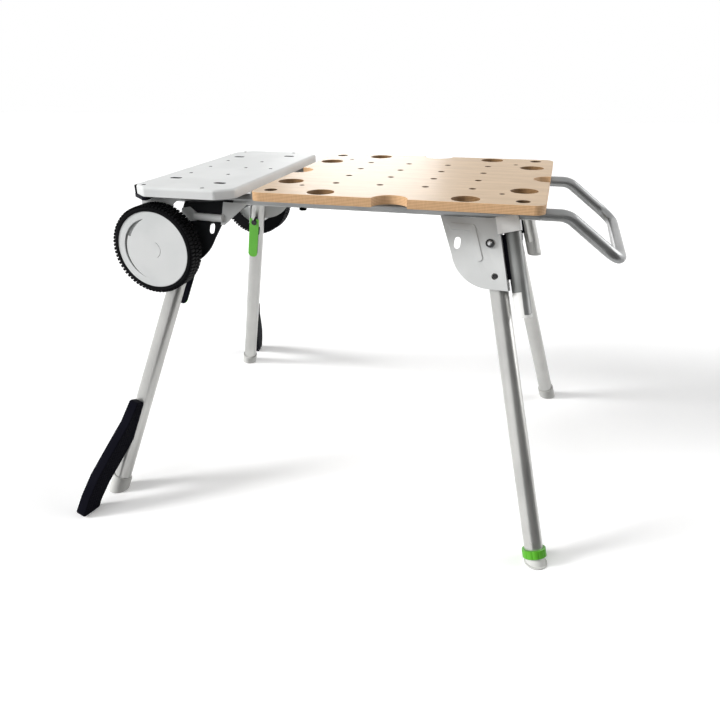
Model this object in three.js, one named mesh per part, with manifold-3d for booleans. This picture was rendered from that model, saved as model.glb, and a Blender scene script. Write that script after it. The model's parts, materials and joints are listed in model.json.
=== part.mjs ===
// A folding table saw stand: a plywood board and a sheet tray on two rails, four splayed legs that
// fold under the rails, two wheels at one end and a bent tube handle at the other.
//
// Millimetres. The pieces are drawn about the centre of the board's top: +X runs from the wheels to
// the handle, +Y away from the front, +Z up. At the end the stand is set on the floor, centred.
// "end" is +1 at the handle and -1 at the wheels, and "side" is -1 at the front and +1 at the back.
import * as THREE from 'three';
import { mergeVertices } from 'three/addons/utils/BufferGeometryUtils.js';
import Module from 'manifold-3d';

const wasm = await Module();
wasm.setup();

// General fits
const clearance = 0.3; // between pieces that touch
const overrun = 4; // how far a cut runs past the face that it opens
const tubeSides = 20;
const holeSides = 12;
const nutSides = 6;
const sheet = 2.5; // thickness of the pressed steel sheets

// Board
const topHeight = 710; // floor to the top of the board
const boardLength = 576;
const boardWidth = 560;
const boardThickness = 18;
const boardShift = 4; // the hole pattern sits this far off the board's centre
const boardCorner = 20;
const gridPitch = 96;
const gridCount = 4;
const gridHoleRadius = 6.5;
const gripHoleRadius = 27;
const gripHoleNear = 144; // the large holes' places along the board's edges
const gripHoleFar = 246; // and their places out from its centre
const cornerHoleRadius = 12.5;
const cornerHoleX = 250;
const cornerHoleY = 247;
const boardScrewX = 206;
const boardScrewRadius = 4.5;
const notchRadius = 35;

// Tray at the wheel end
const trayGap = 43; // between the tray and the board
const trayLength = 233;
const trayWidth = 560;
const traySkirt = 20;
const trayChamferX = 35;
const trayChamferY = 30;
const hookSlotLength = 28;
const hookSlotWidth = 15;
const trayHoleRadius = 4.5;
const bumperThickness = 3.5;
const bumperShare = 0.111; // the bumpers' length as a share of the tray's width
const bumperFoot = 7;
const bumperReach = 42;
const bumperOverlap = 37; // the bumpers' feet reach this far in from the tray's sides

// Rails and cross members
const railRadius = 12;
const railWall = 2;
const railTrayInset = 96; // from the tray's sides in to the rails' axes
const railDrop = 35.5; // from the board's top to the rails' axes
const railInset = 12; // the rails end this far inside the tray's outer end
const railTuck = 8; // and this far inside the board's handle end
const padLength = 30;
const padWidth = 16;
const boardNutRadius = 8;
const boardNutHeight = 4.5;
const crossWidth = 40;
const crossWall = 2;
const boardCrossX = 120;
const trayCrossInset = 93; // from the tray's inner end to its cross member

// Handle
const handleSplice = 25; // length of the ends that plug into the rails
const handleRun = 41; // straight run past the board before the bend
const handleReach = 108; // from the bend to the cross grip, along X
const handleFall = 83.5; // and down
const handleBendRadius = 45;
const handleCornerRadius = 40;
const handleSteps = 52;
const handleSides = 12;

// Legs
const legRadius = 19;
const legWall = 2;
const pivotDrop = 100; // from the board's top to the pivots
const pivotInset = 3; // the pivots are this far inside the rails' axes
const handlePivotInset = 97; // from the board's handle end to the pivots there
const wheelPivotInset = 89; // from the tray's outer end to the pivots there
const legLean = 0.3295; // outward travel of a leg for each millimetre down
const handleSplay = 0.2503; // endward travel of a handle-end leg for each millimetre down
const wheelSplay = 0.2775;
const foldSkew = THREE.MathUtils.degToRad(6); // turns the folded legs so that they pass each other
const capRadius = 22;
const capHeight = 36;
const capFloor = 14; // height of the foot caps' inner floor above the ground, along the leg

// Levelling foot at the front of the handle end
const collarRadius = 24.5;
const collarHeight = 17;
const padRadius = 20;
const padRimRadius = 23.5; // the level rim that the pad stands on
const padRimHeight = 3.5;
const padFloor = 9; // bottom of the pad's bore above the ground, along the leg
const stemLength = 40;
const stemWall = 3;
const collarGrooves = 12;
const collarGrooveRadius = 2;
const buttonRadius = 4.5; // the spring button above the collar
const buttonHeight = 1.5;
const buttonRise = 12;

// Leg brackets
const plateInner = 24; // from a leg's axis to the inner face of its bracket
const plateRadius = 84.5; // the plate's round edge
const plateCentreX = 6.3; // the round edge's centre, from the pivot
const plateCentreZ = -5.5;
const plateFlare = 112; // how far the plate reaches towards the other end, under the rail
const plateFlareHeight = 58;
const plateTangentAngle = THREE.MathUtils.degToRad(196);
const beadHeight = 2;
const beadWidth = 13;
const beadReach = 79;
const beadRise = 27;
const beadTurn = 39;
const beadFoot = 18;
const beadFall = 31;
const stopDepth = 34; // how far the folded stop runs in from the plate's outer face
const pivotBoltRadius = 5;
const pivotHeadRadius = 8.5;
const pivotHeadHeight = 6;

// Lock pins and release levers
const lockRadius = 66; // from the pivot to the lock pin
const lockPinRadius = 4.5;
const lockHeadRadius = 7.5;
const lockHeadHeight = 3.5;
const lockHoleRadius = 6.6;
const lockSlotLength = 24;
const lockSlotDrop = 5; // the folded legs' lock slots hang this far below the pins
const leverWidth = 26;
const leverWall = 3;
const leverStand = 36; // from the leg's axis to the lever's back
const leverTop = 56; // from the pivot to the lever's forked top
const leverBottom = 186;
const leverLip = 3;
const fulcrumDrop = 100; // from the pivot to the lever's own pin
const fulcrumStand = 27; // from the leg's axis to the lever's own pin
const fulcrumRadius = 3;
const fulcrumHeadRadius = 4.5;
const fulcrumHeadHeight = 1.5;
const lugHeight = 16;
const earHeight = 22;
const earDepth = 14;

// Foot pedals on the wheel-end legs
const pedalThickness = 22;
const pedalTop = 236; // height of the pedal's top along the leg, from the ground
const pedalSeat = 126; // height where the pedal leaves the leg
const pedalTopReach = 40;
const pedalHeel = [[23, 118], [44, 74], [66, 34], [78, -1], [78, -60]]; // reach and height, inner edge
const pedalEdge = [[127, -80], [123.5, 14], [114.5, 65], [85, 127], [54, 188]]; // and the outer edge
const pedalGround = 2; // the pedal stays this far above the floor
const pedalRootDepth = 10;

// Parking feet beside the handle-end legs
const parkRadius = 17;
const parkWall = 2;
const parkDrop = 228; // from the board's top to the wheels' and the parking feet's soles
const parkSole = 6;
const parkPlugLength = 46;
const parkWindowShift = 4; // the window in the tube's wall ends this far past the tube's axis
const parkOffset = 42; // from the leg's axis to the parking foot's
const parkStart = 16; // the parking foot's top, above the pivot along the leg
const spacerWidth = 24;
const spacerLength = 92;
const spacerInset = 3;
const clampHeight = 32;
const clampDrop = 2;

// Wheels
const wheelRadius = 96;
const wheelInset = 44; // from the tray's outer end to the wheels' axis
const wheelWidth = 44;
const wheelProud = 10; // the wheels' outer faces stand this far outside the tray
const rimRadius = 83;
const rimInset = 2;
const rimLip = 9;
const rimRecess = 7;
const rimWeb = 8;
const hubRadius = 20;
const tyreRound = 6;
const tyreCuffRadius = 61; // the tyre's inner side reaches in to here, over the rim
const tyreCuffThickness = 3.5;
const coverThickness = 7;
const coverFlange = 3;
const recessRadius = 68; // the finger recess in the cover: its outer edge
const recessDepth = 3.5;
const recessSteps = 12;
const recessUpperWidth = 12;
const recessLowerWidth = 7;
const recessTop = THREE.MathUtils.degToRad(96); // from the handle's direction round to the recess's ends
const recessStep = THREE.MathUtils.degToRad(153);
const recessBottom = THREE.MathUtils.degToRad(264);
const axleRadius = 7;
const axleCapRadius = 12.5;
const axleCapHeight = 4;
const rimSides = 36;
const rimRibs = 6;
const ribHeight = 16;
const tyreSides = 40;
const tyreGrooves = 40;
const tyreGrooveDepth = 3;
const tyreGrooveWidth = 5;
const wheelPlateGap = 5; // from the wheels' inner faces to the bracket plates
const wheelPlateReach = 63; // from the wheels' axis to the plates' inner ends
const wheelPlateEye = 24;
const wheelPlateKnee = 28; // the lower edge steps back this far to its knee
const wheelPlateKneeDrop = 6; // the knee is this far below the rails' axes
const wheelPlateWrap = 0.08; // the share of a half turn left off each side of the rounded eye

// Strut and gusset on the wheel-end brackets
const strutRadius = 8;
const strutRise = 17;
const strutLength = 71;
const strutStart = 26;
const strutTab = 40;
const strutTabHalf = 16;
const strutTabThickness = 4;
const gussetReach = 149;
const gussetRise = 53;
const gussetFoot = 4; // height of the gusset's lower edge above the pivot

// Places worked out from the sizes above
const boardLeft = boardShift - boardLength / 2;
const boardRight = boardShift + boardLength / 2;
const trayRight = boardLeft - trayGap;
const trayLeft = trayRight - trayLength;
const railLeft = trayLeft + railInset;
const railSpread = trayWidth / 2 - railTrayInset; // from the middle plane to each rail's axis
const handlePivotX = boardRight - handlePivotInset;
const wheelPivotX = trayLeft + wheelPivotInset;
const railRight = boardRight - railTuck;
const railBottom = -railRadius - railDrop;
const floorZ = -topHeight;
const soleZ = -parkDrop;
const plateOuter = plateInner + sheet;
const wheelX = trayLeft + wheelInset;
const wheelZ = wheelRadius - parkDrop;
const wheelOuter = trayWidth / 2 + wheelProud;
const wheelInner = wheelOuter - wheelWidth;
const pivotSpread = railSpread - pivotInset;

// Finishes
const finishes = {
  board: { color: 0xdcbb8e, roughness: 0.55, metalness: 0 },
  sheetGrey: { color: 0xdcdddb, roughness: 0.4, metalness: 0.1 },
  railGrey: { color: 0x6d7172, roughness: 0.38, metalness: 0.6 },
  legGrey: { color: 0xc6c6c1, roughness: 0.42, metalness: 0.3 },
  blackSheet: { color: 0x26282b, roughness: 0.5, metalness: 0.2 },
  bolt: { color: 0x55585b, roughness: 0.35, metalness: 0.9 },
  green: { color: 0x4fae2a, roughness: 0.45, metalness: 0 },
  black: { color: 0x16171c, roughness: 0.7, metalness: 0 },
  cap: { color: 0xc9cac6, roughness: 0.6, metalness: 0 },
  tyre: { color: 0x131314, roughness: 0.85, metalness: 0 },
  rim: { color: 0xd9dbda, roughness: 0.45, metalness: 0 },
};

// Solids

function solid(geometry) {
  const bare = geometry.clone();
  bare.deleteAttribute('normal');
  bare.deleteAttribute('uv');
  const merged = mergeVertices(bare);
  const corners = merged.index.array;
  const kept = [];
  for (let i = 0; i < corners.length; i += 3) {
    const [a, b, c] = [corners[i], corners[i + 1], corners[i + 2]];
    if (a !== b && b !== c && c !== a) kept.push(a, b, c);
  }
  const vertProperties = new Float32Array(merged.attributes.position.array);
  return new wasm.Manifold(new wasm.Mesh({ numProp: 3, vertProperties, triVerts: new Uint32Array(kept) }));
}

const join = (first, ...others) => others.reduce((whole, other) => whole.add(other), first);
const cut = (first, ...others) => others.reduce((whole, other) => whole.subtract(other), first);

function block([x0, x1], [y0, y1], [z0, z1], frame = null) {
  const shape = new THREE.BoxGeometry(Math.abs(x1 - x0), Math.abs(y1 - y0), Math.abs(z1 - z0));
  shape.translate((x0 + x1) / 2, (y0 + y1) / 2, (z0 + z1) / 2);
  if (frame) shape.applyMatrix4(frame);
  return solid(shape);
}

// A round bar along one axis, from one value to another on that axis, through the point (x, y, z).
function rod(axis, radius, from, to, { x = 0, y = 0, z = 0, sides = tubeSides, frame = null } = {}) {
  const shape = new THREE.CylinderGeometry(radius, radius, Math.abs(to - from), sides);
  shape.translate(0, (from + to) / 2, 0);
  if (axis === 'x') shape.rotateZ(-Math.PI / 2);
  if (axis === 'z') shape.rotateX(Math.PI / 2);
  shape.translate(x, y, z);
  if (frame) shape.applyMatrix4(frame);
  return solid(shape);
}

// A flat outline given thickness upwards, from z0 to z1.
function slab(outline, z0, z1, curveSegments = holeSides / 2) {
  const shape = new THREE.ExtrudeGeometry(outline, { depth: z1 - z0, bevelEnabled: false, curveSegments });
  shape.translate(0, 0, z0);
  return solid(shape);
}

// An outline drawn in x and z, given thickness along y between the two values.
function plate(outline, ya, yb, { frame = null, curveSegments = holeSides } = {}) {
  const depth = Math.abs(yb - ya);
  const shape = new THREE.ExtrudeGeometry(outline, { depth, bevelEnabled: false, curveSegments });
  shape.rotateX(Math.PI / 2);
  shape.translate(0, Math.max(ya, yb), 0);
  if (frame) shape.applyMatrix4(frame);
  return solid(shape);
}

// A profile of [radius, height] points turned about the z axis.
function turned(profile, sides = tubeSides) {
  const points = profile.map(([radius, height]) => new THREE.Vector2(radius, height));
  const shape = new THREE.LatheGeometry(points, sides);
  shape.rotateX(Math.PI / 2);
  return solid(shape);
}

const outlineOf = (points) => new THREE.Shape(points.map(([x, y]) => new THREE.Vector2(x, y)));

function addPiece(parent, name, body, finish) {
  const { vertProperties, triVerts } = body.getMesh();
  const geometry = new THREE.BufferGeometry();
  geometry.setAttribute('position', new THREE.BufferAttribute(new Float32Array(vertProperties), 3));
  geometry.setIndex(new THREE.BufferAttribute(new Uint32Array(triVerts), 1));
  geometry.computeVertexNormals();
  const mesh = new THREE.Mesh(geometry, new THREE.MeshStandardMaterial(finishes[finish]));
  mesh.name = name;
  parent.add(mesh);
  return mesh;
}

// Board

function boardOutline() {
  const [x0, x1, y] = [boardLeft, boardRight, boardWidth / 2];
  const middle = boardShift;
  const shape = new THREE.Shape();
  const quarter = Math.PI / 2;
  shape.moveTo(x0 + boardCorner, -y);
  shape.lineTo(middle - notchRadius, -y);
  shape.absarc(middle, -y, notchRadius, Math.PI, 0, true);
  shape.lineTo(x1 - boardCorner, -y);
  shape.absarc(x1 - boardCorner, boardCorner - y, boardCorner, -quarter, 0, false);
  shape.lineTo(x1, -notchRadius);
  shape.absarc(x1, 0, notchRadius, -quarter, quarter, true);
  shape.lineTo(x1, y - boardCorner);
  shape.absarc(x1 - boardCorner, y - boardCorner, boardCorner, 0, quarter, false);
  shape.lineTo(middle + notchRadius, y);
  shape.absarc(middle, y, notchRadius, 0, -Math.PI, true);
  shape.lineTo(x0 + boardCorner, y);
  shape.absarc(x0 + boardCorner, y - boardCorner, boardCorner, quarter, Math.PI, false);
  shape.lineTo(x0, notchRadius);
  shape.absarc(x0, 0, notchRadius, quarter, -quarter, true);
  shape.lineTo(x0, boardCorner - y);
  shape.absarc(x0 + boardCorner, boardCorner - y, boardCorner, Math.PI, Math.PI + quarter, false);
  return shape;
}

const through = (radius, x, y, sides = holeSides) =>
  rod('z', radius, -boardThickness - overrun, overrun, { x, y, sides });

function board() {
  const holes = [];
  for (let i = 0; i < gridCount; i += 1) {
    for (let j = 0; j < gridCount; j += 1) {
      const [x, y] = [i, j].map((n) => (n - (gridCount - 1) / 2) * gridPitch);
      holes.push(through(gridHoleRadius, x, y));
    }
  }
  for (const sx of [-1, 1]) {
    for (const sy of [-1, 1]) {
      holes.push(through(gripHoleRadius, sx * gripHoleNear, sy * gripHoleFar, tubeSides));
      holes.push(through(gripHoleRadius, sx * gripHoleFar, sy * gripHoleNear, tubeSides));
      holes.push(through(cornerHoleRadius, sx * cornerHoleX, sy * cornerHoleY, holeSides));
      holes.push(through(boardScrewRadius, sx * boardScrewX, sy * railSpread, holeSides));
    }
  }
  return cut(slab(boardOutline(), -boardThickness, 0), ...holes);
}

// Tray

// The tray's outline, drawn in from its outside by an inset that is the same on every edge.
function trayOutline(inset) {
  const slope = Math.hypot(trayChamferX, trayChamferY);
  const cx = trayChamferX - inset * (1 - (slope - trayChamferX) / trayChamferY);
  const cy = trayChamferY - inset * (1 - (slope - trayChamferY) / trayChamferX);
  const [x0, x1, y] = [trayLeft + inset, trayRight - inset, trayWidth / 2 - inset];
  return outlineOf([
    [x0 + cx, -y],
    [x1 - cx, -y],
    [x1, cy - y],
    [x1, y - cy],
    [x1 - cx, y],
    [x0 + cx, y],
    [x0, y - cy],
    [x0, cy - y],
  ]);
}

function stadium(x, y, length, width) {
  const [half, round] = [(length - width) / 2, width / 2];
  const shape = new THREE.Shape();
  shape.absarc(x + half, y, round, -Math.PI / 2, Math.PI / 2, false);
  shape.absarc(x - half, y, round, Math.PI / 2, Math.PI * 1.5, false);
  return shape;
}

// Hole places on the tray, as shares of its length from the outer end and of its half width.
const hookShares = [[0.206, 0.586], [0.747, 0.721]];
const trayHoleShares = [[0.206, 0.343], [0.609, 0.343], [0.099, 0.911], [0.704, 0.936]];
const trayMiddleShares = [0.206, 0.609, 0.884];

function tray() {
  const [top, bottom] = [0, -traySkirt];
  const trayPlace = ([lengthShare, widthShare]) => [
    trayLeft + lengthShare * trayLength,
    (widthShare * trayWidth) / 2,
  ];
  const drill = (x, y) => rod('z', trayHoleRadius, -sheet - overrun, overrun, { x, y, sides: holeSides });
  const cuts = [slab(trayOutline(sheet), bottom - overrun, -sheet)];
  for (const side of [-1, 1]) {
    for (const share of hookShares) {
      const [x, y] = trayPlace(share);
      cuts.push(slab(stadium(x, side * y, hookSlotLength, hookSlotWidth), -sheet - overrun, overrun));
    }
    for (const share of trayHoleShares) {
      const [x, y] = trayPlace(share);
      cuts.push(drill(x, side * y));
    }
  }
  for (const share of trayMiddleShares) cuts.push(drill(trayPlace([share, 0])[0], 0));
  return cut(slab(trayOutline(0), bottom, top), ...cuts);
}

// A bumper covers the tray's outer end beside a corner, and its foot turns in under the corner.
function bumper(side) {
  const corner = trayWidth / 2 - trayChamferY;
  const face = trayLeft - clearance;
  const back = face - bumperThickness;
  const under = -traySkirt - clearance;
  const low = under - bumperFoot;
  const inner = corner - bumperShare * trayWidth;
  const upright = block([back, face], [side * inner, side * corner], [low, -sheet]);
  const tuck = trayWidth / 2 - bumperOverlap;
  const foot = slab(trayOutline(-bumperThickness), low, under).intersect(
    block([back, face + bumperReach], [side * tuck, side * trayWidth], [low, under]),
  );
  return join(upright, foot);
}

// Rails, cross members and handle

function rail(side) {
  const y = side * railSpread;
  const pad = (x, top) =>
    block([x - padLength / 2, x + padLength / 2], [y - padWidth / 2, y + padWidth / 2], [-railDrop, top]);
  const underBoard = -boardThickness - clearance;
  const underTray = -sheet - clearance;
  const trayPads = [trayLeft + railInset + padLength, trayRight - padLength];
  const outer = join(
    rod('x', railRadius, railLeft, railRight, { y, z: -railDrop }),
    pad(-boardScrewX, underBoard),
    pad(boardScrewX, underBoard),
    ...trayPads.map((x) => pad(x, underTray)),
    rod('z', boardNutRadius, railBottom - boardNutHeight, -railDrop, { x: -boardScrewX, y, sides: nutSides }),
  );
  const screws = [-1, 1].map((hand) => rod('z', boardScrewRadius - clearance, -railDrop, -clearance, {
    x: hand * boardScrewX,
    y,
    sides: holeSides,
  }));
  const bore = rod('x', railRadius - railWall, railLeft + railWall, railRight + overrun, { y, z: -railDrop });
  return cut(join(outer, ...screws), bore);
}

function crossMember(x, top) {
  const reach = railSpread - railRadius + overrun;
  const [bottom, half] = [-railDrop - railRadius, crossWidth / 2];
  const outer = block([x - half, x + half], [-reach, reach], [bottom, top]);
  const inner = block(
    [x - half + crossWall, x + half - crossWall],
    [-reach - overrun, reach + overrun],
    [bottom + crossWall, top - crossWall],
  );
  const rails = [-1, 1].map((side) =>
    rod('x', railRadius + clearance, x - crossWidth, x + crossWidth, { y: side * railSpread, z: -railDrop }));
  return cut(outer, inner, ...rails);
}

// A circular arc in space, from one unit direction to another about a centre.
class Arc extends THREE.Curve {
  constructor(centre, from, towards, radius, angle) {
    super();
    Object.assign(this, { centre, from, towards, radius, angle });
  }

  getPoint(share, target = new THREE.Vector3()) {
    const turn = share * this.angle;
    return target.copy(this.centre)
      .addScaledVector(this.from, this.radius * Math.cos(turn))
      .addScaledVector(this.towards, this.radius * Math.sin(turn));
  }
}

// A path of straight runs through the corners, with each corner rounded by its radius.
function roundedPath(corners, radii) {
  const path = new THREE.CurvePath();
  let last = corners[0];
  for (let i = 1; i < corners.length - 1; i += 1) {
    const before = new THREE.Vector3().subVectors(corners[i], corners[i - 1]).normalize();
    const after = new THREE.Vector3().subVectors(corners[i + 1], corners[i]).normalize();
    const angle = before.angleTo(after);
    const trim = radii[i - 1] * Math.tan(angle / 2);
    const start = corners[i].clone().addScaledVector(before, -trim);
    const end = corners[i].clone().addScaledVector(after, trim);
    const normal = after.clone().addScaledVector(before, -after.dot(before)).normalize();
    const centre = start.clone().addScaledVector(normal, radii[i - 1]);
    path.add(new THREE.LineCurve3(last, start));
    path.add(new Arc(centre, normal.clone().negate(), before, radii[i - 1], angle));
    last = end;
  }
  path.add(new THREE.LineCurve3(last, corners[corners.length - 1]));
  return path;
}

function circleOutline(radius, sides) {
  const points = [];
  for (let i = 0; i < sides; i += 1) {
    const turn = (i / sides) * 2 * Math.PI;
    points.push([radius * Math.cos(turn), radius * Math.sin(turn)]);
  }
  return outlineOf(points);
}

const handleBendX = boardRight + handleRun;
const handleEndX = handleBendX + handleReach;

function handle() {
  const start = railRight + clearance;
  const corner = (x, y, z) => new THREE.Vector3(x, y, z);
  const [near, far, low] = [-railSpread, railSpread, -railDrop - handleFall];
  const corners = [
    corner(start, near, -railDrop),
    corner(handleBendX, near, -railDrop),
    corner(handleEndX, near, low),
    corner(handleEndX, far, low),
    corner(handleBendX, far, -railDrop),
    corner(start, far, -railDrop),
  ];
  const radii = [handleBendRadius, handleCornerRadius, handleCornerRadius, handleBendRadius];
  const tube = new THREE.ExtrudeGeometry(circleOutline(railRadius, handleSides), {
    steps: handleSteps,
    bevelEnabled: false,
    extrudePath: roundedPath(corners, radii),
  });
  const plugRadius = railRadius - railWall - clearance;
  const plugs = [-1, 1].map((side) =>
    rod('x', plugRadius, start - handleSplice, start + railRadius, {
      y: side * railSpread,
      z: -railDrop,
      sides: handleSides,
    }));
  return join(solid(tube), ...plugs);
}

// Legs and what is built around them

// The frame of one leg: its origin is the pivot, z runs up the leg, y along the hinge.
// The plate frame shares the pivot and the hinge, and its x is level.
function legFrames(end, side) {
  const splay = end > 0 ? handleSplay : wheelSplay;
  const pivot = new THREE.Vector3(end > 0 ? handlePivotX : wheelPivotX, side * pivotSpread, -pivotDrop);
  const down = new THREE.Vector3(end * splay, side * legLean, -1).normalize();
  const folded = new THREE.Vector3(-end * Math.cos(foldSkew), -end * side * Math.sin(foldSkew), 0);
  const up = down.clone().negate();
  const hinge = new THREE.Vector3().crossVectors(up, folded).multiplyScalar(-end).normalize();
  const across = new THREE.Vector3().crossVectors(hinge, up);
  const level = folded.clone().multiplyScalar(-end);
  const rise = new THREE.Vector3().crossVectors(level, hinge);
  const leg = new THREE.Matrix4().makeBasis(across, hinge, up).setPosition(pivot);
  const plateFrame = new THREE.Matrix4().makeBasis(level, hinge, rise).setPosition(pivot);
  const fromStand = leg.clone().invert();
  return {
    leg,
    plateFrame,
    fromStand,
    plateFromStand: plateFrame.clone().invert(),
    foldAngle: down.angleTo(folded),
    length: (topHeight - pivotDrop) / -down.z,
  };
}

// Everything of the stand below a level, as a block in a leg's frame.
function below(level, fromStand) {
  const size = topHeight;
  return block([wheelPivotX - size, handlePivotX + size], [-size, size], [level - size, level], fromStand);
}

// The room that a rail takes up, seen from another frame.
function railRoom(side, fromStand) {
  return rod('x', railRadius + clearance, railLeft - overrun, railRight + overrun, {
    y: side * railSpread,
    z: -railDrop,
    frame: fromStand,
  });
}

function legTube(frames, side, footHeight, hasButton) {
  const inward = -side;
  const foot = footHeight - frames.length;
  const boreTop = -legRadius - legWall;
  const dome = [];
  const domeSteps = holeSides / 2;
  for (let i = 0; i < domeSteps; i += 1) {
    const turn = (i / domeSteps) * (Math.PI / 2);
    dome.push([legRadius * Math.cos(turn), legRadius * Math.sin(turn)]);
  }
  const outer = turned([[0, foot], [legRadius, foot], ...dome, [0, legRadius]]);
  const lugHalf = leverWidth / 2 - leverWall - clearance;
  const lug = block(
    [-lugHalf, lugHalf],
    [inward * (legRadius - legWall - overrun), inward * (fulcrumStand + fulcrumRadius * 2)],
    [-fulcrumDrop - lugHeight / 2, -fulcrumDrop + lugHeight / 2],
  );
  const button = rod('y', buttonRadius, side * (legRadius - legWall / 2), side * (legRadius + buttonHeight), {
    z: foot + buttonRise,
    sides: holeSides,
  });
  const across = legRadius + overrun;
  return cut(
    hasButton ? join(outer, lug, button) : join(outer, lug),
    rod('z', legRadius - legWall, foot - overrun, boreTop),
    rod('y', pivotBoltRadius + clearance, -across, across, { sides: holeSides }),
    rod('y', lockPinRadius + clearance, -across, across, { z: -lockRadius, sides: holeSides }),
    rod('x', fulcrumRadius + clearance, -leverWidth, leverWidth, {
      y: inward * fulcrumStand,
      z: -fulcrumDrop,
      sides: holeSides,
    }),
  );
}

function footCap(frames) {
  const ground = -frames.length;
  const [inner, floor] = [legRadius + clearance, ground + capFloor];
  const shell = turned([
    [0, ground - capRadius],
    [capRadius, ground - capRadius],
    [capRadius, ground + capHeight],
    [inner, ground + capHeight],
    [inner, floor],
    [0, floor],
  ]);
  return cut(shell, below(floorZ, frames.fromStand));
}

function levellingCollar(frames) {
  const bottom = capFloor + clearance - frames.length;
  const top = bottom + collarHeight;
  const bore = legRadius - legWall;
  const ring = turned([
    [bore, bottom],
    [collarRadius, bottom],
    [collarRadius, top],
    [bore, top],
    [bore, bottom],
  ]);
  const grooves = [];
  for (let i = 0; i < collarGrooves; i += 1) {
    const turn = (i / collarGrooves) * 2 * Math.PI;
    grooves.push(rod('z', collarGrooveRadius, bottom - overrun, top + overrun, {
      x: (collarRadius + collarGrooveRadius / 2) * Math.cos(turn),
      y: (collarRadius + collarGrooveRadius / 2) * Math.sin(turn),
      sides: holeSides / 2,
    }));
  }
  return cut(ring, ...grooves);
}

function levellingPad(frames) {
  const ground = -frames.length;
  const top = ground + capFloor;
  const stem = legRadius - legWall - clearance;
  const shell = turned([
    [0, ground - padRadius],
    [padRadius, ground - padRadius],
    [padRadius, top],
    [stem, top],
    [stem, top + stemLength],
    [stem - stemWall, top + stemLength],
    [stem - stemWall, ground + padFloor],
    [0, ground + padFloor],
  ]);
  const spot = new THREE.Vector3(0, 0, ground).applyMatrix4(frames.leg);
  const where = { x: spot.x, y: spot.y, frame: frames.fromStand };
  const rim = rod('z', padRimRadius, floorZ, floorZ + padRimHeight, where);
  return join(cut(shell, below(floorZ, frames.fromStand)), rim);
}

// The brackets are drawn with x towards their end of the stand, and turned round at the wheel end.
const turnedToEnd = (points, end) => outlineOf(points.map(([x, z]) => [end * x, z]));

function arcPoints(radius, from, to, steps, shiftX = 0, shiftZ = 0) {
  const points = [];
  for (let i = 0; i <= steps; i += 1) {
    const turn = from + ((to - from) * i) / steps;
    points.push([shiftX + radius * Math.cos(turn), shiftZ + radius * Math.sin(turn)]);
  }
  return points;
}

const stopInner = legRadius + clearance;
const stopOuter = stopInner + sheet;
const plateBottom = plateCentreZ - plateRadius;

function plateOutline(frames) {
  const [sine, cosine] = [Math.sin(frames.foldAngle), -Math.cos(frames.foldAngle)];
  const climb = (plateFlareHeight - cosine * stopOuter) / sine;
  const drop = (plateBottom - cosine * stopOuter) / sine;
  return [
    [-plateFlare, plateFlareHeight],
    ...arcPoints(plateRadius, plateTangentAngle, Math.PI * 1.5, holeSides, plateCentreX, plateCentreZ),
    [sine * stopOuter - cosine * drop, plateBottom],
    [sine * stopOuter - cosine * climb, plateFlareHeight],
  ];
}

function capsule([x0, z0], [x1, z1], width) {
  const heading = Math.atan2(z1 - z0, x1 - x0);
  const quarter = Math.PI / 2;
  const round = (x, z, from) =>
    arcPoints(width / 2, from, from + Math.PI, holeSides / 2).map(([dx, dz]) => [x + dx, z + dz]);
  return [...round(x1, z1, heading - quarter), ...round(x0, z0, heading + quarter)];
}

// A quarter-round plate outside the leg, with a stop folded in along the leg's outer side.
function legBracket(frames, end, side) {
  const [inner, outer] = [side * plateInner, side * plateOuter];
  const face = plate(turnedToEnd(plateOutline(frames), end), inner, outer);
  const toPlate = frames.plateFromStand.clone().multiply(frames.leg);
  const along = (height) => (height + Math.cos(frames.foldAngle) * stopOuter) / Math.sin(frames.foldAngle);
  const stop = block(
    [end * stopInner, end * stopOuter],
    [outer, side * (plateOuter - stopDepth)],
    [along(plateBottom) + sheet / 2, along(plateFlareHeight)],
    toPlate,
  );
  const raised = side * (plateOuter + beadHeight);
  const corner = [-beadTurn, beadRise];
  const bead = (from, to) => plate(turnedToEnd(capsule(from, to, beadWidth), end), inner, raised);
  const beads = end > 0 ? [bead([-beadReach, beadRise], corner), bead(corner, [-beadFoot, -beadFall])] : [];
  const hole = (radius, x, z) =>
    rod('y', radius, inner - side * overrun, outer + side * overrun, { x: end * x, z, sides: holeSides });
  const [sine, cosine] = [Math.sin(frames.foldAngle), -Math.cos(frames.foldAngle)];
  const reach = (lockSlotLength - lockHoleRadius * 2) / 2;
  const slotEnds = [-reach, reach].map((rise) => [-lockRadius, rise - lockSlotDrop]);
  const slot = capsule(...slotEnds, lockHoleRadius * 2);
  return cut(
    join(face, stop, ...beads),
    hole(pivotBoltRadius + clearance, 0, 0),
    hole(lockHoleRadius, cosine * lockRadius, -sine * lockRadius),
    plate(turnedToEnd(slot, end), inner - side * overrun, outer + side * overrun),
    railRoom(side, frames.plateFromStand),
  );
}

function pivotBolt(side) {
  const part = (radius, from, to, sides) => rod('y', radius, side * from, side * to, { sides });
  const headFrom = plateOuter + clearance;
  const spacer = part(pivotHeadRadius, legRadius + clearance, plateInner - clearance, holeSides);
  const head = part(pivotHeadRadius, headFrom, headFrom + pivotHeadHeight, holeSides);
  const nutFrom = -legRadius - clearance;
  const nut = part(pivotHeadRadius, nutFrom - pivotHeadHeight, nutFrom, nutSides);
  const shank = part(pivotBoltRadius, nutFrom - pivotHeadHeight, headFrom + clearance, holeSides);
  return join(shank, spacer, head, nut);
}

function lockPin(side) {
  const headFrom = leverStand + leverWall + clearance;
  const at = { z: -lockRadius, sides: holeSides };
  const shank = rod('y', lockPinRadius, side * (plateInner - clearance), -side * (headFrom + clearance), at);
  const head = rod('y', lockHeadRadius, -side * headFrom, -side * (headFrom + lockHeadHeight), at);
  return join(shank, head);
}

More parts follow.
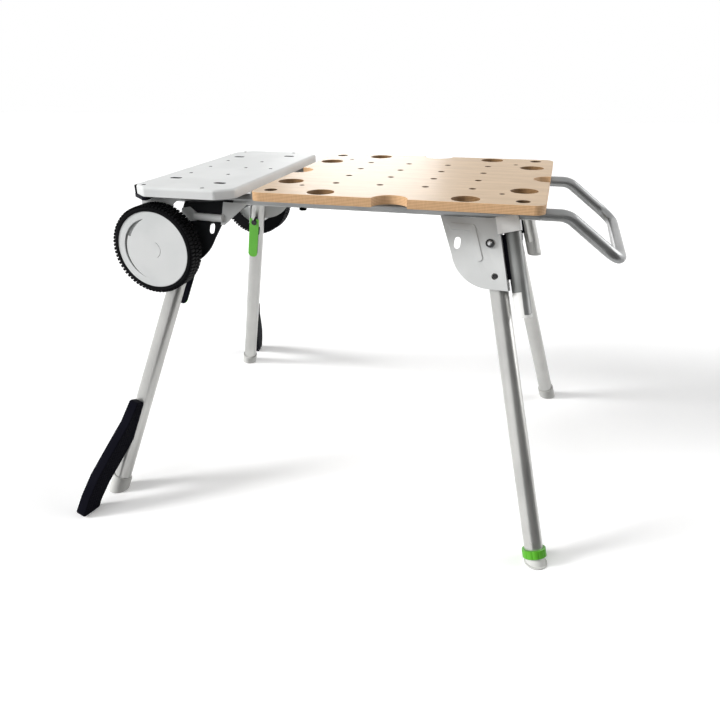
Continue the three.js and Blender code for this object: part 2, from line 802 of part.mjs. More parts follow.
function lever(side) {
  const inward = -side;
  const half = leverWidth / 2;
  const [back, front] = [leverStand, leverStand + leverWall];
  const tip = -leverBottom + half;
  const outline = outlineOf([
    [half, -leverTop],
    [-half, -leverTop],
    ...arcPoints(half, Math.PI, Math.PI * 2, holeSides).map(([x, z]) => [x, z + tip]),
  ]);
  const pieces = [plate(outline, inward * back, inward * front)];
  for (const hand of [-1, 1]) {
    const edge = [hand * (half - leverWall), hand * half];
    const [earLow, earHigh] = [-fulcrumDrop - earHeight / 2, -fulcrumDrop + earHeight / 2];
    pieces.push(block(edge, [inward * (back - leverLip), inward * front], [tip, earLow]));
    pieces.push(block(edge, [inward * (back - earDepth), inward * front], [earLow, earHigh]));
  }
  const slotHalf = lockPinRadius + clearance * 2;
  return cut(
    join(...pieces),
    block(
      [-slotHalf, slotHalf],
      [inward * (back - overrun), inward * (front + overrun)],
      [-lockRadius - slotHalf, -leverTop + overrun],
    ),
    rod('x', fulcrumRadius + clearance, -leverWidth, leverWidth, {
      y: inward * fulcrumStand,
      z: -fulcrumDrop,
      sides: holeSides,
    }),
  );
}

function leverPin(side) {
  const at = { y: -side * fulcrumStand, z: -fulcrumDrop, sides: holeSides };
  const reach = leverWidth / 2 + clearance;
  const head = (hand) =>
    rod('x', fulcrumHeadRadius, hand * reach, hand * (reach + fulcrumHeadHeight), at);
  return join(rod('x', fulcrumRadius, -reach - clearance, reach + clearance, at), head(-1), head(1));
}

// A foot pedal: a blade that stands out from the leg's outer side and leans away towards the floor.
function footPedal(frames, side) {
  const ground = -frames.length;
  const root = legRadius - pedalRootDepth;
  const points = [
    [root, pedalTop],
    [root, pedalSeat],
    ...pedalHeel,
    ...pedalEdge,
    [pedalTopReach, pedalTop],
  ].map(([reach, height]) => [reach, height + ground]);
  const half = pedalThickness / 2;
  const shape = new THREE.ExtrudeGeometry(outlineOf(points), { depth: pedalThickness, bevelEnabled: false });
  shape.translate(0, 0, -half);
  shape.rotateX(Math.PI / 2);
  shape.rotateZ((side * Math.PI) / 2);
  return cut(
    solid(shape),
    below(floorZ + pedalGround, frames.fromStand),
    rod('z', legRadius + clearance, ground - capRadius, ground + pedalTop + overrun),
    rod('z', capRadius + clearance, ground - capRadius, ground + capHeight + clearance),
  );
}

// Parking feet

const parkTop = parkStart;
const parkLow = (frames) => below(soleZ, frames.fromStand);
const parkEnd = (frames) => parkTop - parkLength(frames);

function parkLength(frames) {
  const steep = new THREE.Vector3().setFromMatrixColumn(frames.leg, 2).z;
  const crosswise = new THREE.Vector3().setFromMatrixColumn(frames.leg, 0).z;
  const topZ = -pivotDrop + crosswise * parkOffset + steep * parkTop;
  return (topZ - soleZ) / steep;
}

// The part of the parking foot whose wall is cut away to show the plug.
function parkWindow(frames, inset) {
  const size = parkRadius + overrun;
  const low = parkEnd(frames);
  const face = parkOffset + parkWindowShift - inset;
  return block([face - size * 2, face], [-size, size], [low - size, low + parkPlugLength - inset]);
}

function parkingTube(frames) {
  const low = parkEnd(frames);
  const sole = below(soleZ + parkSole, frames.fromStand);
  return cut(
    rod('z', parkRadius, low - parkRadius, parkTop, { x: parkOffset }),
    rod('z', parkRadius - parkWall, low - parkRadius - overrun, parkTop - parkWall, { x: parkOffset }),
    parkWindow(frames, 0),
    sole,
  );
}

function parkingPlug(frames) {
  const low = parkEnd(frames);
  const bottom = low - parkRadius;
  const core = rod('z', parkRadius - parkWall - clearance, bottom, low + parkPlugLength, { x: parkOffset });
  const whole = rod('z', parkRadius, bottom, low + parkPlugLength, { x: parkOffset });
  const shell = whole.intersect(parkWindow(frames, clearance));
  const foot = whole.intersect(below(soleZ + parkSole - clearance, frames.fromStand));
  return cut(join(core, shell, foot), parkLow(frames));
}

function parkingSpacer() {
  const [from, to] = [stopOuter + clearance, parkOffset - spacerInset];
  return cut(
    block([from, to], [-spacerWidth / 2, spacerWidth / 2], [parkTop - spacerLength, parkTop - spacerInset]),
    rod('z', parkRadius + clearance, parkTop - topHeight, parkTop + overrun, { x: parkOffset }),
  );
}

function parkingClamp(frames, side) {
  const low = parkTop + clearance;
  const far = parkOffset + parkRadius + clampDrop;
  const [behind, front] = [side * (plateOuter + clearance), side * (plateOuter + clearance + sheet)];
  const cover = block([stopInner - clampDrop, far], [behind, front], [low - clampDrop, low + clampHeight]);
  const body = block([stopOuter + clearance, far], [-side * parkWall, front], [low, low + clampHeight]);
  return cut(join(cover, body), railRoom(side, frames.fromStand));
}

// Wheel-end brace: a strut with a flattened end and a gusset, on the bracket's outer face
function brace(frames, side) {
  const base = plateOuter + clearance;
  const axis = side * (base + strutRadius);
  const bar = rod('x', strutRadius, -strutStart, -strutStart - strutLength, { y: axis, z: strutRise });
  const [near, far] = [-strutStart - clearance, strutTab - strutStart];
  const tab = plate(turnedToEnd([
    [near, strutRise + strutRadius],
    [near, strutRise - strutRadius],
    [far, strutRise - strutTabHalf],
    [far, strutRise + strutTabHalf],
    [(near + far) / 2, strutRise + strutTabHalf + strutRadius / 2],
  ], 1), side * base, side * (base + strutTabThickness));
  const root = -strutStart - strutLength + strutRadius;
  const gusset = plate(outlineOf([
    [root, gussetFoot],
    [root - strutRadius, gussetFoot],
    [-gussetReach, gussetRise],
    [root, gussetRise],
  ]), side * base, side * (base + sheet));
  const drawn = join(bar, tab, gusset);
  const [boltFrom, boltTo] = [base - overrun, base + pivotHeadHeight + overrun];
  const boltRoom = rod('y', pivotHeadRadius + clearance, side * boltFrom, side * boltTo);
  return cut(drawn.mirror([1, 0, 0]), boltRoom, railRoom(side, frames.plateFromStand));
}

// Wheels

// A plate inside each wheel, from the tray down to the axle, with a shelf that meets the rail
function wheelBracket(side) {
  const inner = wheelInner - wheelPlateGap - sheet;
  const [left, right] = [trayLeft + sheet + clearance, wheelX + wheelPlateReach];
  const [eyeFrom, eyeTo] = [Math.PI * (1 + wheelPlateWrap), Math.PI * (2 - wheelPlateWrap)];
  const eye = arcPoints(wheelPlateEye, eyeFrom, eyeTo, holeSides, wheelX, wheelZ);
  const outline = outlineOf([
    [left, -sheet - clearance],
    [left, railBottom],
    ...eye,
    [right - wheelPlateKnee, -railDrop - wheelPlateKneeDrop],
    [right, -traySkirt],
    [right, -sheet - clearance],
  ]);
  const face = plate(outline, side * inner, side * (inner + sheet));
  const shelf = block(
    [left, right - wheelPlateKnee],
    [side * railSpread, side * (inner + sheet)],
    [-railDrop - sheet / 2, -railDrop + sheet / 2],
  );
  const [holeFrom, holeTo] = [inner - overrun, inner + sheet + overrun];
  const axleHole = rod('y', axleRadius + clearance, side * holeFrom, side * holeTo, {
    x: wheelX,
    z: wheelZ,
    sides: holeSides,
  });
  const rails = rod('x', railRadius + clearance, railLeft - overrun, railRight, {
    y: side * railSpread,
    z: -railDrop,
  });
  return cut(join(face, shelf), axleHole, rails, block(
    [left - overrun, right + overrun],
    [side * (railSpread - overrun), side * railSpread],
    [-railDrop - sheet, -railDrop + sheet],
  ));
}

const rimWebOuter = wheelOuter - rimInset - rimRecess;
const coverTop = rimWebOuter + clearance + coverThickness;
const rimOuter = coverTop - coverFlange - clearance;

function axle() {
  const cap = rimWebOuter - clearance;
  const at = { sides: holeSides };
  const ends = [-1, 1].map((side) =>
    rod('y', axleCapRadius, side * (cap - axleCapHeight), side * cap, at));
  return join(rod('y', axleRadius, -cap + clearance, cap - clearance, at), ...ends);
}

// The wheel's pieces are drawn with z outwards, measured from the stand's middle plane.
function tyre() {
  const inner = rimRadius + clearance;
  const [low, high] = [wheelInner, wheelOuter];
  const shoulder = wheelRadius - tyreRound;
  const ring = turned([
    [tyreCuffRadius, low],
    [shoulder, low],
    [wheelRadius, low + tyreRound],
    [wheelRadius, high - tyreRound],
    [shoulder, high],
    [inner, high],
    [inner, low + tyreCuffThickness],
    [tyreCuffRadius, low + tyreCuffThickness],
    [tyreCuffRadius, low],
  ], tyreSides);
  const grooves = [];
  for (let i = 0; i < tyreGrooves; i += 1) {
    const frame = new THREE.Matrix4().makeRotationZ((i / tyreGrooves) * 2 * Math.PI);
    grooves.push(block(
      [wheelRadius - tyreGrooveDepth, wheelRadius + overrun],
      [-tyreGrooveWidth / 2, tyreGrooveWidth / 2],
      [low - overrun, high + overrun],
      frame,
    ));
  }
  return cut(ring, ...grooves);
}

function rim() {
  const bore = axleRadius + clearance;
  const [outer, inner] = [rimOuter, wheelInner + tyreCuffThickness + clearance];
  const hubStart = wheelInner - wheelPlateGap + clearance;
  const web = rimWebOuter - rimWeb;
  const pocket = axleCapRadius + clearance;
  const pocketFloor = rimWebOuter - axleCapHeight - clearance * 2;
  const seat = rimRadius - rimLip;
  const body = turned([
    [bore, hubStart],
    [hubRadius, hubStart],
    [hubRadius, web],
    [seat, web],
    [seat, inner],
    [rimRadius, inner],
    [rimRadius, outer],
    [seat, outer],
    [seat, rimWebOuter],
    [pocket, rimWebOuter],
    [pocket, pocketFloor],
    [bore, pocketFloor],
    [bore, hubStart],
  ], rimSides);
  const ribs = [];
  for (let i = 0; i < rimRibs; i += 1) {
    const frame = new THREE.Matrix4().makeRotationZ((i / rimRibs) * 2 * Math.PI);
    ribs.push(block([hubRadius - overrun / 2, seat + overrun / 2], [-sheet / 2, sheet / 2],
      [web - ribHeight, web + clearance], frame));
  }
  return join(body, ...ribs);
}

// The recess in a cover is widest at a step, and narrows to nothing at both ends.
function recessOutline() {
  const edge = (end, width) => {
    const points = [];
    for (let i = 0; i <= recessSteps; i += 1) {
      const share = i / recessSteps;
      const turn = recessStep + (end - recessStep) * share;
      const radius = recessRadius - width * Math.cos((share * Math.PI) / 2);
      points.push([radius * Math.cos(turn), radius * Math.sin(turn)]);
    }
    return points;
  };
  return outlineOf([
    ...arcPoints(recessRadius, recessTop, recessBottom, recessSteps),
    ...edge(recessBottom, recessLowerWidth).reverse().slice(1),
    ...edge(recessTop, recessUpperWidth).slice(0, -1),
  ]);
}

function hubCover() {
  const radius = rimRadius - rimLip - clearance;
  const base = rimWebOuter + clearance;
  const flange = coverTop - coverFlange;
  const disc = turned([
    [0, base],
    [radius, base],
    [radius, flange],
    [rimRadius, flange],
    [rimRadius, coverTop],
    [0, coverTop],
  ], rimSides);
  return cut(disc, slab(recessOutline(), coverTop - recessDepth, coverTop + overrun, 1));
}

// Assembly

const sideNames = { [-1]: 'near', 1: 'far' };
const endNames = { [-1]: 'wheel_end', 1: 'handle_end' };

function addTop(parent) {
  addPiece(parent, 'plywood_board', board(), 'board');
  addPiece(parent, 'wheel_end_tray', tray(), 'sheetGrey');
  addPiece(parent, 'handle_loop', handle(), 'railGrey');
  const [boardCross, trayCross] = [
    crossMember(boardCrossX, -boardThickness - clearance),
    crossMember(trayRight - trayCrossInset, -sheet - clearance),
  ];
  addPiece(parent, 'cross_member_board', boardCross, 'railGrey');
  addPiece(parent, 'cross_member_tray', trayCross, 'railGrey');
  for (const side of [-1, 1]) {
    addPiece(parent, `rail_${sideNames[side]}`, rail(side), 'railGrey');
    addPiece(parent, `tray_bumper_${sideNames[side]}`, bumper(side), 'black');
  }
}

function placed(parent, matrix) {
  const group = new THREE.Group();
  group.applyMatrix4(matrix);
  parent.add(group);
  return group;
}

function addLeg(parent, end, side) {
  const frames = legFrames(end, side);
  const label = `${endNames[end]}_${sideNames[side]}`;
  const level = placed(parent, frames.plateFrame);
  const dark = end < 0 && side < 0;
  addPiece(level, `leg_bracket_${label}`, legBracket(frames, end, side), dark ? 'blackSheet' : 'sheetGrey');
  if (end < 0) addPiece(level, `brace_${sideNames[side]}`, brace(frames, side), 'sheetGrey');
  const tilted = placed(parent, frames.leg);
  const levelling = end > 0 && side < 0;
  const footHeight = capFloor + clearance + (levelling ? collarHeight + clearance : 0);
  addPiece(tilted, `leg_tube_${label}`, legTube(frames, side, footHeight, levelling), 'legGrey');
  addPiece(tilted, `pivot_bolt_${label}`, pivotBolt(side), 'bolt');
  addPiece(tilted, `lock_pin_${label}`, lockPin(side), 'bolt');
  addPiece(tilted, `release_lever_${label}`, lever(side), 'green');
  addPiece(tilted, `lever_pin_${label}`, leverPin(side), 'bolt');
  if (levelling) {
    addPiece(tilted, 'levelling_collar', levellingCollar(frames), 'green');
    addPiece(tilted, 'levelling_pad', levellingPad(frames), 'cap');
  } else {
    addPiece(tilted, `foot_cap_${label}`, footCap(frames), 'cap');
  }
  if (end > 0) {
    addPiece(tilted, `parking_foot_${sideNames[side]}`, parkingTube(frames), 'legGrey');
    addPiece(tilted, `parking_plug_${sideNames[side]}`, parkingPlug(frames), 'sheetGrey');
    addPiece(tilted, `parking_spacer_${sideNames[side]}`, parkingSpacer(), 'black');
    addPiece(tilted, `parking_clamp_${sideNames[side]}`, parkingClamp(frames, side), 'sheetGrey');
  } else {
    addPiece(tilted, `foot_pedal_${sideNames[side]}`, footPedal(frames, side), 'black');
  }
}

function addWheel(parent, side) {
  const group = new THREE.Group();
  group.position.set(wheelX, 0, wheelZ);
  group.rotation.x = (-side * Math.PI) / 2;
  parent.add(group);
  addPiece(group, `tyre_${sideNames[side]}`, tyre(), 'tyre');
  addPiece(group, `wheel_rim_${sideNames[side]}`, rim(), 'rim');
  addPiece(group, `hub_cover_${sideNames[side]}`, hubCover(), 'rim');
  addPiece(parent, `wheel_bracket_${sideNames[side]}`, wheelBracket(side), 'sheetGrey');
}

function buildStand() {
  const drawn = new THREE.Group();
  addTop(drawn);
  for (const side of [-1, 1]) {
    addLeg(drawn, 1, side);
    addLeg(drawn, -1, side);
    addWheel(drawn, side);
  }
  const axlePiece = addPiece(drawn, 'wheel_axle', axle(), 'bolt');
  axlePiece.position.set(wheelX, 0, wheelZ);
  const whole = new THREE.Group();
  whole.add(drawn);
  drawn.updateMatrixWorld(true);
  const box = new THREE.Box3().setFromObject(drawn, true);
  drawn.position.set(-(box.min.x + box.max.x) / 2, 0, topHeight);
  return whole;
}

const group = buildStand();
export default group;
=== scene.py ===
# %% [markdown]
# # A folding table saw stand
# The stand is a birch plywood board and a pressed sheet tray on two rails. Four splayed legs fold
# under the rails, two wheels carry one end, and a bent tube at the other end is the handle. The
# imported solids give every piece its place, so this lesson only dresses them.

import json
import math

import bmesh
import bpy
from mathutils import Matrix, Vector

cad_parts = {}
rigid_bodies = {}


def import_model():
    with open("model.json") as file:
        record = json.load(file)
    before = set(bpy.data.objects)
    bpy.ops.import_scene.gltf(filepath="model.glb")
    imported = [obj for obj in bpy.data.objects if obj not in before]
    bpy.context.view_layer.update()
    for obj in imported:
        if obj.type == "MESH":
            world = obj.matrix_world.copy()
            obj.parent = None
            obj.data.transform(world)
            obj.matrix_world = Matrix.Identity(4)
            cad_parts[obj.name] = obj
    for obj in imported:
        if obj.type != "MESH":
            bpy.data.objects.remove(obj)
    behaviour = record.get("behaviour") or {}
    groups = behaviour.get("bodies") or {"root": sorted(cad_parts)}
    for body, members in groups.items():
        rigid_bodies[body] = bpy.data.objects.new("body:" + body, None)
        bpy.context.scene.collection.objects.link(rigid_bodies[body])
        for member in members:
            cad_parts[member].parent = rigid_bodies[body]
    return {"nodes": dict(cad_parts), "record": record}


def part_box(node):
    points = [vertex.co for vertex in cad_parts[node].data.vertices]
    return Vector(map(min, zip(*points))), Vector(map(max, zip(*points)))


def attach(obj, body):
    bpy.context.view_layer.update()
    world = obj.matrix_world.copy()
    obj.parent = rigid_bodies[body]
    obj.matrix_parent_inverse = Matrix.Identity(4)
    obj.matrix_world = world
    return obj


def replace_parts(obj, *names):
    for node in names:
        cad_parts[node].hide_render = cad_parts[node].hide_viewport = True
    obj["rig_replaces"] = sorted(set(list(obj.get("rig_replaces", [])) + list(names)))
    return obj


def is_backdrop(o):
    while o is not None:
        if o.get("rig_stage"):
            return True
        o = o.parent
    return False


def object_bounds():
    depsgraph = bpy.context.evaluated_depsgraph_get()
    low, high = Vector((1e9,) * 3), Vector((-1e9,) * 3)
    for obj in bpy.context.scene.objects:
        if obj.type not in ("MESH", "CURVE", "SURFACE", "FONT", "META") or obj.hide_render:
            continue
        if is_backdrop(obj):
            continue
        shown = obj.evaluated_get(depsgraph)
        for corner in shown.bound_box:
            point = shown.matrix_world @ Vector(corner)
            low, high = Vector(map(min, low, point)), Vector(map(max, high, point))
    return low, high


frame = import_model()
first_box = [list(corner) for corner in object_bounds()]
record = frame["record"]
slot_of = {part["node"]: part["material_slot"] for part in record["subparts"]}
body_of = {node: body for body, nodes in record["behaviour"]["bodies"].items() for node in nodes}

# %% [markdown]
# The drawing of the stand has its origin in the middle of the board's hole pattern, on the top of
# the board, in millimetres. It could be measured from the floor too, but the drawing's own numbers
# are easier to follow, so one helper turns them into metres in the stand's frame.

# %% From drawing millimetres to metres
MM = 0.001
TOP = 0.710
BOARD_X = (-284.0, 292.0)
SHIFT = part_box("plywood_board")[1].x - BOARD_X[1] * MM


def at(x, y, z):
    return Vector((x * MM + SHIFT, y * MM, z * MM + TOP))


print("the drawing's origin is at", tuple(round(v, 4) for v in at(0, 0, 0)))

# %% [markdown]
# Every finish here is a small tree of nodes. Node trees get long when each sum is wired by hand, so
# a value is wrapped in a class that turns Python's own signs into Math nodes. Everything else goes
# through its one method for other nodes.

# %% A value in a node tree
class Value:
    """One socket of a material, which can be used in sums."""

    def __init__(self, tree, socket=None):
        self.tree, self.socket = tree, socket

    def node(self, kind, settings, sockets, output=0):
        made = self.tree.nodes.new(kind)
        for name, value in settings.items():
            if name == "stops":
                ramp = made.color_ramp
                ramp.interpolation = "EASE"
                while len(ramp.elements) < len(value):
                    ramp.elements.new(0.5)
                for element, (place, colour) in zip(ramp.elements, value):
                    element.position, element.color = place, (*colour, 1)
            else:
                setattr(made, name, value)
        for name, value in sockets.items():
            if isinstance(value, Value):
                self.tree.links.new(value.socket, made.inputs[name])
            else:
                made.inputs[name].default_value = value
        return Value(self.tree, made.outputs[output])

    def sum(self, operation, first, second=0.0):
        return self.node("ShaderNodeMath", {"operation": operation}, {0: first, 1: second})

    def __add__(self, other):
        return self.sum("ADD", self, other)

    def __rsub__(self, other):
        return self.sum("SUBTRACT", other, self)

    def __mul__(self, other):
        return self.sum("MULTIPLY", self, other)


# %% [markdown]
# Powder coat, plastic, rubber and lacquered wood all come down to the same few facts: a colour
# that wanders a little, a roughness that wanders with it, and a fine relief. One function starts
# every finish from those facts, and each finish then adds what is its own.

# %% The start of a finish
def finish(name, metallic=0.0, lacquer=0.0):
    material = bpy.data.materials.new(name)
    material.use_nodes = True
    tree = material.node_tree
    shader = tree.nodes["Principled BSDF"]
    shader.inputs["Metallic"].default_value = metallic
    shader.inputs["Coat Weight"].default_value = lacquer
    shader.inputs["Coat Roughness"].default_value = 0.2
    place = Value(tree).node("ShaderNodeTexCoord", {}, {}, "Object")
    return material, shader, place


def speckle(place, scale, detail=2.0, stretch=(1, 1, 1)):
    moved = place.node("ShaderNodeMapping", {}, {"Vector": place, "Scale": stretch})
    return place.node("ShaderNodeTexNoise", {}, {"Vector": moved, "Scale": scale, "Detail": detail})


def tint(value, dark, light, low=0.35, high=0.65):
    return value.node("ShaderNodeValToRGB", {"stops": [(low, dark), (high, light)]}, {"Fac": value})


def wire(value, shader, name):
    value.tree.links.new(value.socket, shader.inputs[name])


def relief(value, shader, height):
    bump = value.node("ShaderNodeBump", {}, {"Height": value, "Distance": height, "Strength": 1.0})
    wire(bump, shader, "Normal")


def coat(name, dark, light, rough, grain, height, metallic=0.0, shine=0.5, spread=0.08):
    """A coated or moulded skin: wandering colour and roughness, and a grain with a height in metres."""
    material, shader, place = finish(name, metallic)
    shader.inputs["Specular IOR Level"].default_value = shine
    cloud = speckle(place, 9.0, 3.0)
    wire(tint(cloud, dark, light), shader, "Base Color")
    wire(cloud * spread + (rough - spread / 2), shader, "Roughness")
    relief(speckle(place, grain, 1.0), shader, height)
    return material


# The renderer's noise filter treats a roughness below about 0.27 apart from a higher one, and shows
# the border as cracks. The tubes' roughness therefore stays above it all over.
TUBE = {"rough": 0.305, "grain": 900, "height": 0.00002, "spread": 0.03}
SHEET_GRAIN = {"grain": 700, "height": 0.00004}
MOULDED = {"grain": 1200, "height": 0.00003}
BOLT_GRAIN = {"grain": 500, "height": 0.00003}

finishes = {
    "dark_tube": coat("silver_tube", (0.28, 0.285, 0.285), (0.36, 0.365, 0.365), metallic=0.6, **TUBE),
    "leg_finish": coat("leg_coat", (0.51, 0.51, 0.495), (0.58, 0.58, 0.56), metallic=0.72, **TUBE),
    "light_sheet": coat("light_sheet", (0.67, 0.68, 0.675), (0.72, 0.73, 0.725), 0.48,
                        metallic=0.03, shine=0.35, **SHEET_GRAIN),
    # The near wheel-end bracket takes this near black sheet as painted shade. The same plate on the far
    # side is light sheet, and the near one stands in the wheel's shade.
    "dark_sheet": coat("dark_sheet", (0.009, 0.0095, 0.011), (0.014, 0.015, 0.017), 0.5,
                       shine=0.15, **SHEET_GRAIN),
    "fastener_steel": coat("fastener_steel", (0.20, 0.205, 0.21), (0.32, 0.33, 0.34), 0.34,
                           metallic=0.9, **BOLT_GRAIN),
    "green_plastic": coat("green_plastic", (0.18, 0.66, 0.07), (0.23, 0.75, 0.10), 0.45, **MOULDED),
    "black_plastic": coat("black_plastic", (0.003, 0.003, 0.006), (0.006, 0.006, 0.010), 0.6,
                          grain=1200, height=0.00004, shine=0.04),
    "grey_plastic": coat("grey_plastic", (0.52, 0.52, 0.50), (0.60, 0.60, 0.58), 0.6,
                         grain=1200, height=0.00004),
    "pale_plastic": coat("pale_plastic", (0.74, 0.74, 0.72), (0.80, 0.80, 0.78), 0.5, **MOULDED),
    "tyre_rubber": coat("tyre_rubber", (0.003, 0.003, 0.0035), (0.007, 0.007, 0.008), 0.6,
                        grain=600, height=0.00008, shine=0.07),
    "rim_plastic": coat("rim_plastic", (0.66, 0.675, 0.67), (0.72, 0.73, 0.725), 0.46, **MOULDED),
}
# A near black that is painted shade in the tray's holes and their cups, and on the screws in the
# board's holes. The nuts under the rails take it too.
painted_shade_black = coat("painted_shade_black", (0.002, 0.002, 0.002), (0.005, 0.005, 0.005), 0.9, 600, 0.00003, shine=0.0)
print(len(finishes), "coated and moulded finishes")

# %% [markdown]
# The board is birch plywood with a clear lacquer. Its faces show a long, faint grain with a few
# darker fibres, and its edges show the plies: thin layers whose end grain is dark in every second
# one. The grain is noise stretched along the board, and the plies are bands in height. The plies
# come in three tones, because a hole's wall gets less light than the board's outer edge.

# %% Birch faces and birch edges
LACQUER = 0.1
PLY_WAVES = 2268.0  # radians for each metre of height: 2.8 mm for a pale and a dark ply


def birch_face():
    material, shader, place = finish("birch_face", lacquer=LACQUER)
    broad = speckle(place, 7.0, 4.0, (1.0, 6.0, 1.0))
    fibre = speckle(place, 60.0, 3.0, (0.6, 14.0, 1.0))
    colour = tint(broad * 0.6 + fibre * 0.4, (0.47, 0.32, 0.18), (0.57, 0.405, 0.245), 0.4, 0.62)
    wire(colour, shader, "Base Color")
    wire(broad * 0.12 + 0.36, shader, "Roughness")
    relief(fibre, shader, 0.00005)
    return material


def birch_edge(name, dark, light):
    material, shader, place = finish(name, lacquer=LACQUER)
    height = place.node("ShaderNodeSeparateXYZ", {}, {"Vector": place}, "Z")
    wander = speckle(place, 25.0, 2.0)
    wave = place.sum("SINE", height * PLY_WAVES + wander * 0.4)
    fibre = speckle(place, 300.0, 2.0, (1.0, 1.0, 0.2))
    wire(tint(wave * 0.22 + fibre * 0.4 + 0.3, dark, light, 0.25, 0.75), shader, "Base Color")
    wire(fibre * 0.15 + 0.5, shader, "Roughness")
    relief(wave, shader, 0.00006)
    return material


finishes["birch_board"] = birch_face()
birch_edges = birch_edge("birch_edge", (0.46, 0.27, 0.13), (0.72, 0.46, 0.26))
birch_bores = birch_edge("birch_bore", (0.045, 0.022, 0.008), (0.10, 0.055, 0.022))
birch_walls = birch_edge("birch_wall", (0.12, 0.062, 0.024), (0.27, 0.16, 0.075))
print("birch faces and edges")

# %% [markdown]
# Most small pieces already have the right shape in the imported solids, but their edges are razor
# sharp, and a real pressed or moulded edge never is: it catches the light as a thin line. The
# solids stay as they are. A copy of each one is merged into a single skin, its flat triangles are
# joined into whole faces, and a narrow bevel rounds its edges. The bevel leaves the flats flat,
# because it keeps their normals. Pieces drawn by hand later get normals that lean to their larger
# faces, which does the same for them.

# %% A softened copy of a solid
CREASE = 40  # degrees: a sharper edge than this stays an edge
FLAT = math.radians(0.6)


def dress(piece, node, material=None, steady=True):
    if steady:
        flats = piece.modifiers.new("flats stay flat", "WEIGHTED_NORMAL")
        flats.keep_sharp = True
        bpy.context.view_layer.update()
        old, seen = piece.data, piece.evaluated_get(bpy.context.evaluated_depsgraph_get())
        piece.data = bpy.data.meshes.new_from_object(seen)
        piece.modifiers.clear()
        bpy.data.meshes.remove(old)
    piece.data.materials.clear()
    piece.data.materials.append(material or finishes[slot_of[node]])
    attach(piece, body_of[node])
    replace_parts(piece, node)
    return piece


def shown(name, mesh):
    piece = bpy.data.objects.new(name, mesh)
    bpy.context.collection.objects.link(piece)
    return piece


def smooth(mesh):
    mesh.shade_smooth()
    mesh.set_sharp_from_angle(angle=math.radians(CREASE))
    return mesh


def evaluated(piece):
    """The mesh of an object with its modifiers, and without the object."""
    bpy.context.view_layer.update()
    mesh = bpy.data.meshes.new_from_object(piece.evaluated_get(bpy.context.evaluated_depsgraph_get()))
    bpy.data.objects.remove(piece)
    return mesh


def joined(name, *meshes):
    """Several meshes as one, with their faces in the same order."""
    skin = bmesh.new()
    for mesh in meshes:
        skin.from_mesh(mesh)
    mesh = bpy.data.meshes.new(name)
    skin.to_mesh(mesh)
    skin.free()
    return smooth(mesh)


def softened(node, width):
    """A copy of a solid with its edges rounded by a width in millimetres, which can be 0."""
    skin = bmesh.new()
    skin.from_mesh(frame["nodes"][node].data)
    bmesh.ops.remove_doubles(skin, verts=skin.verts, dist=1e-6)
    if width:
        bmesh.ops.dissolve_limit(skin, angle_limit=FLAT, verts=skin.verts, edges=skin.edges)
    mesh = bpy.data.meshes.new(node)
    skin.to_mesh(mesh)
    skin.free()
    if not width:
        return smooth(mesh)
    piece = shown(node, smooth(mesh))
    bevel = piece.modifiers.new("soft edges", "BEVEL")
    bevel.width, bevel.segments = width * MM, 2
    bevel.limit_method, bevel.angle_limit = "ANGLE", math.radians(CREASE)
    bevel.harden_normals = True
    return evaluated(piece)


# %% [markdown]
# Flat pieces with holes, such as the board, are drawn the way a router would cut them: a closed
# outline and a closed loop for each hole. A filled 2D curve does that, and its bevel rounds every
# edge. The bevel grows outwards, so each loop is first drawn smaller, and each hole larger, by the
# same amount. Some faces are painted by where they lie, and a helper tells which are close to a
# hole.

# %% Outlines and routed plates
def arc(x, y, radius, start, end, steps=12):
    turns = [math.radians(start + (end - start) * i / steps) for i in range(steps + 1)]
    return [(x + radius * math.cos(t), y + radius * math.sin(t)) for t in turns]


def hole(x, y, radius, steps):
    return arc(x, y, radius, 360, 0, steps)[:-1]


def routed(name, loops, low, high, edge):
    """A plate between two heights, in drawing millimetres, with rounded edges."""
    curve = bpy.data.curves.new(name, "CURVE")
    curve.dimensions, curve.fill_mode = "2D", "BOTH"
    curve.extrude = ((high - low) / 2 - edge) * MM
    curve.bevel_depth, curve.bevel_resolution = edge * MM, 2
    for loop in loops:
        spline = curve.splines.new("POLY")
        spline.points.add(len(loop) - 1)
        for point, (x, y) in zip(spline.points, loop):
            point.co = (x * MM, y * MM, 0, 1)
        spline.use_cyclic_u = True
    mesh = evaluated(shown(name, curve))
    mesh.transform(Matrix.Translation((0, 0, (low + high) / 2 * MM)))
    return mesh


def tidied(mesh, place):
    """Merges a mesh, turns its faces outwards and moves it to its place."""
    skin = bmesh.new()
    skin.from_mesh(mesh)
    bmesh.ops.remove_doubles(skin, verts=skin.verts, dist=2e-6)
    bmesh.ops.recalc_face_normals(skin, faces=skin.faces)
    skin.to_mesh(mesh)
    skin.free()
    mesh.transform(place)
    return smooth(mesh)


def close_to(face, places, reach):
    """Whether a face's middle is within some millimetres of one of the places, seen from above."""
    return min((face.center.xy - place).length for place in places) < reach * MM


origin = Matrix.Translation(at(0, 0, 0))
print("routed plates and outlines are ready")

# %% [markdown]
# ## The board
# The real board is routed from 18 mm birch plywood: rounded corners, a half-round notch in the
# middle of each side, eight large finger holes and a grid of small holes, all with lightly broken
# edges. Side faces take the edge finish with the plies, and the walls of the holes its darker tones.

# %% The board's outline and holes
EDGE = 1.2
MIDDLE = sum(BOARD_X) / 2
BOARD_SIDE, BOARD_LOW = 280, -18
CORNER, NOTCH = 20, 35
GRID = (-144, -48, 48, 144)
GRIP = 27  # radius of the large finger holes
HOLE_REACH = 15  # a face this close to a smaller hole's middle belongs to its wall
RAIL_SIDE, RAIL_HEIGHT = 184, -35.5  # the rails' axes, which also carry the board's screws


def board_holes():
    """Each hole's place, its radius and the steps round it."""
    holes = [(x, y, 6.5, 32) for x in GRID for y in GRID]
    for right in (-1, 1):
        for back in (-1, 1):
            holes.append((right * 144, back * 246, GRIP, 72))
            holes.append((right * 246, back * 144, GRIP, 72))
            holes.append((right * 250, back * 247, 12.5, 48))
            holes.append((right * 206, back * RAIL_SIDE, 4.5, 32))
    return holes


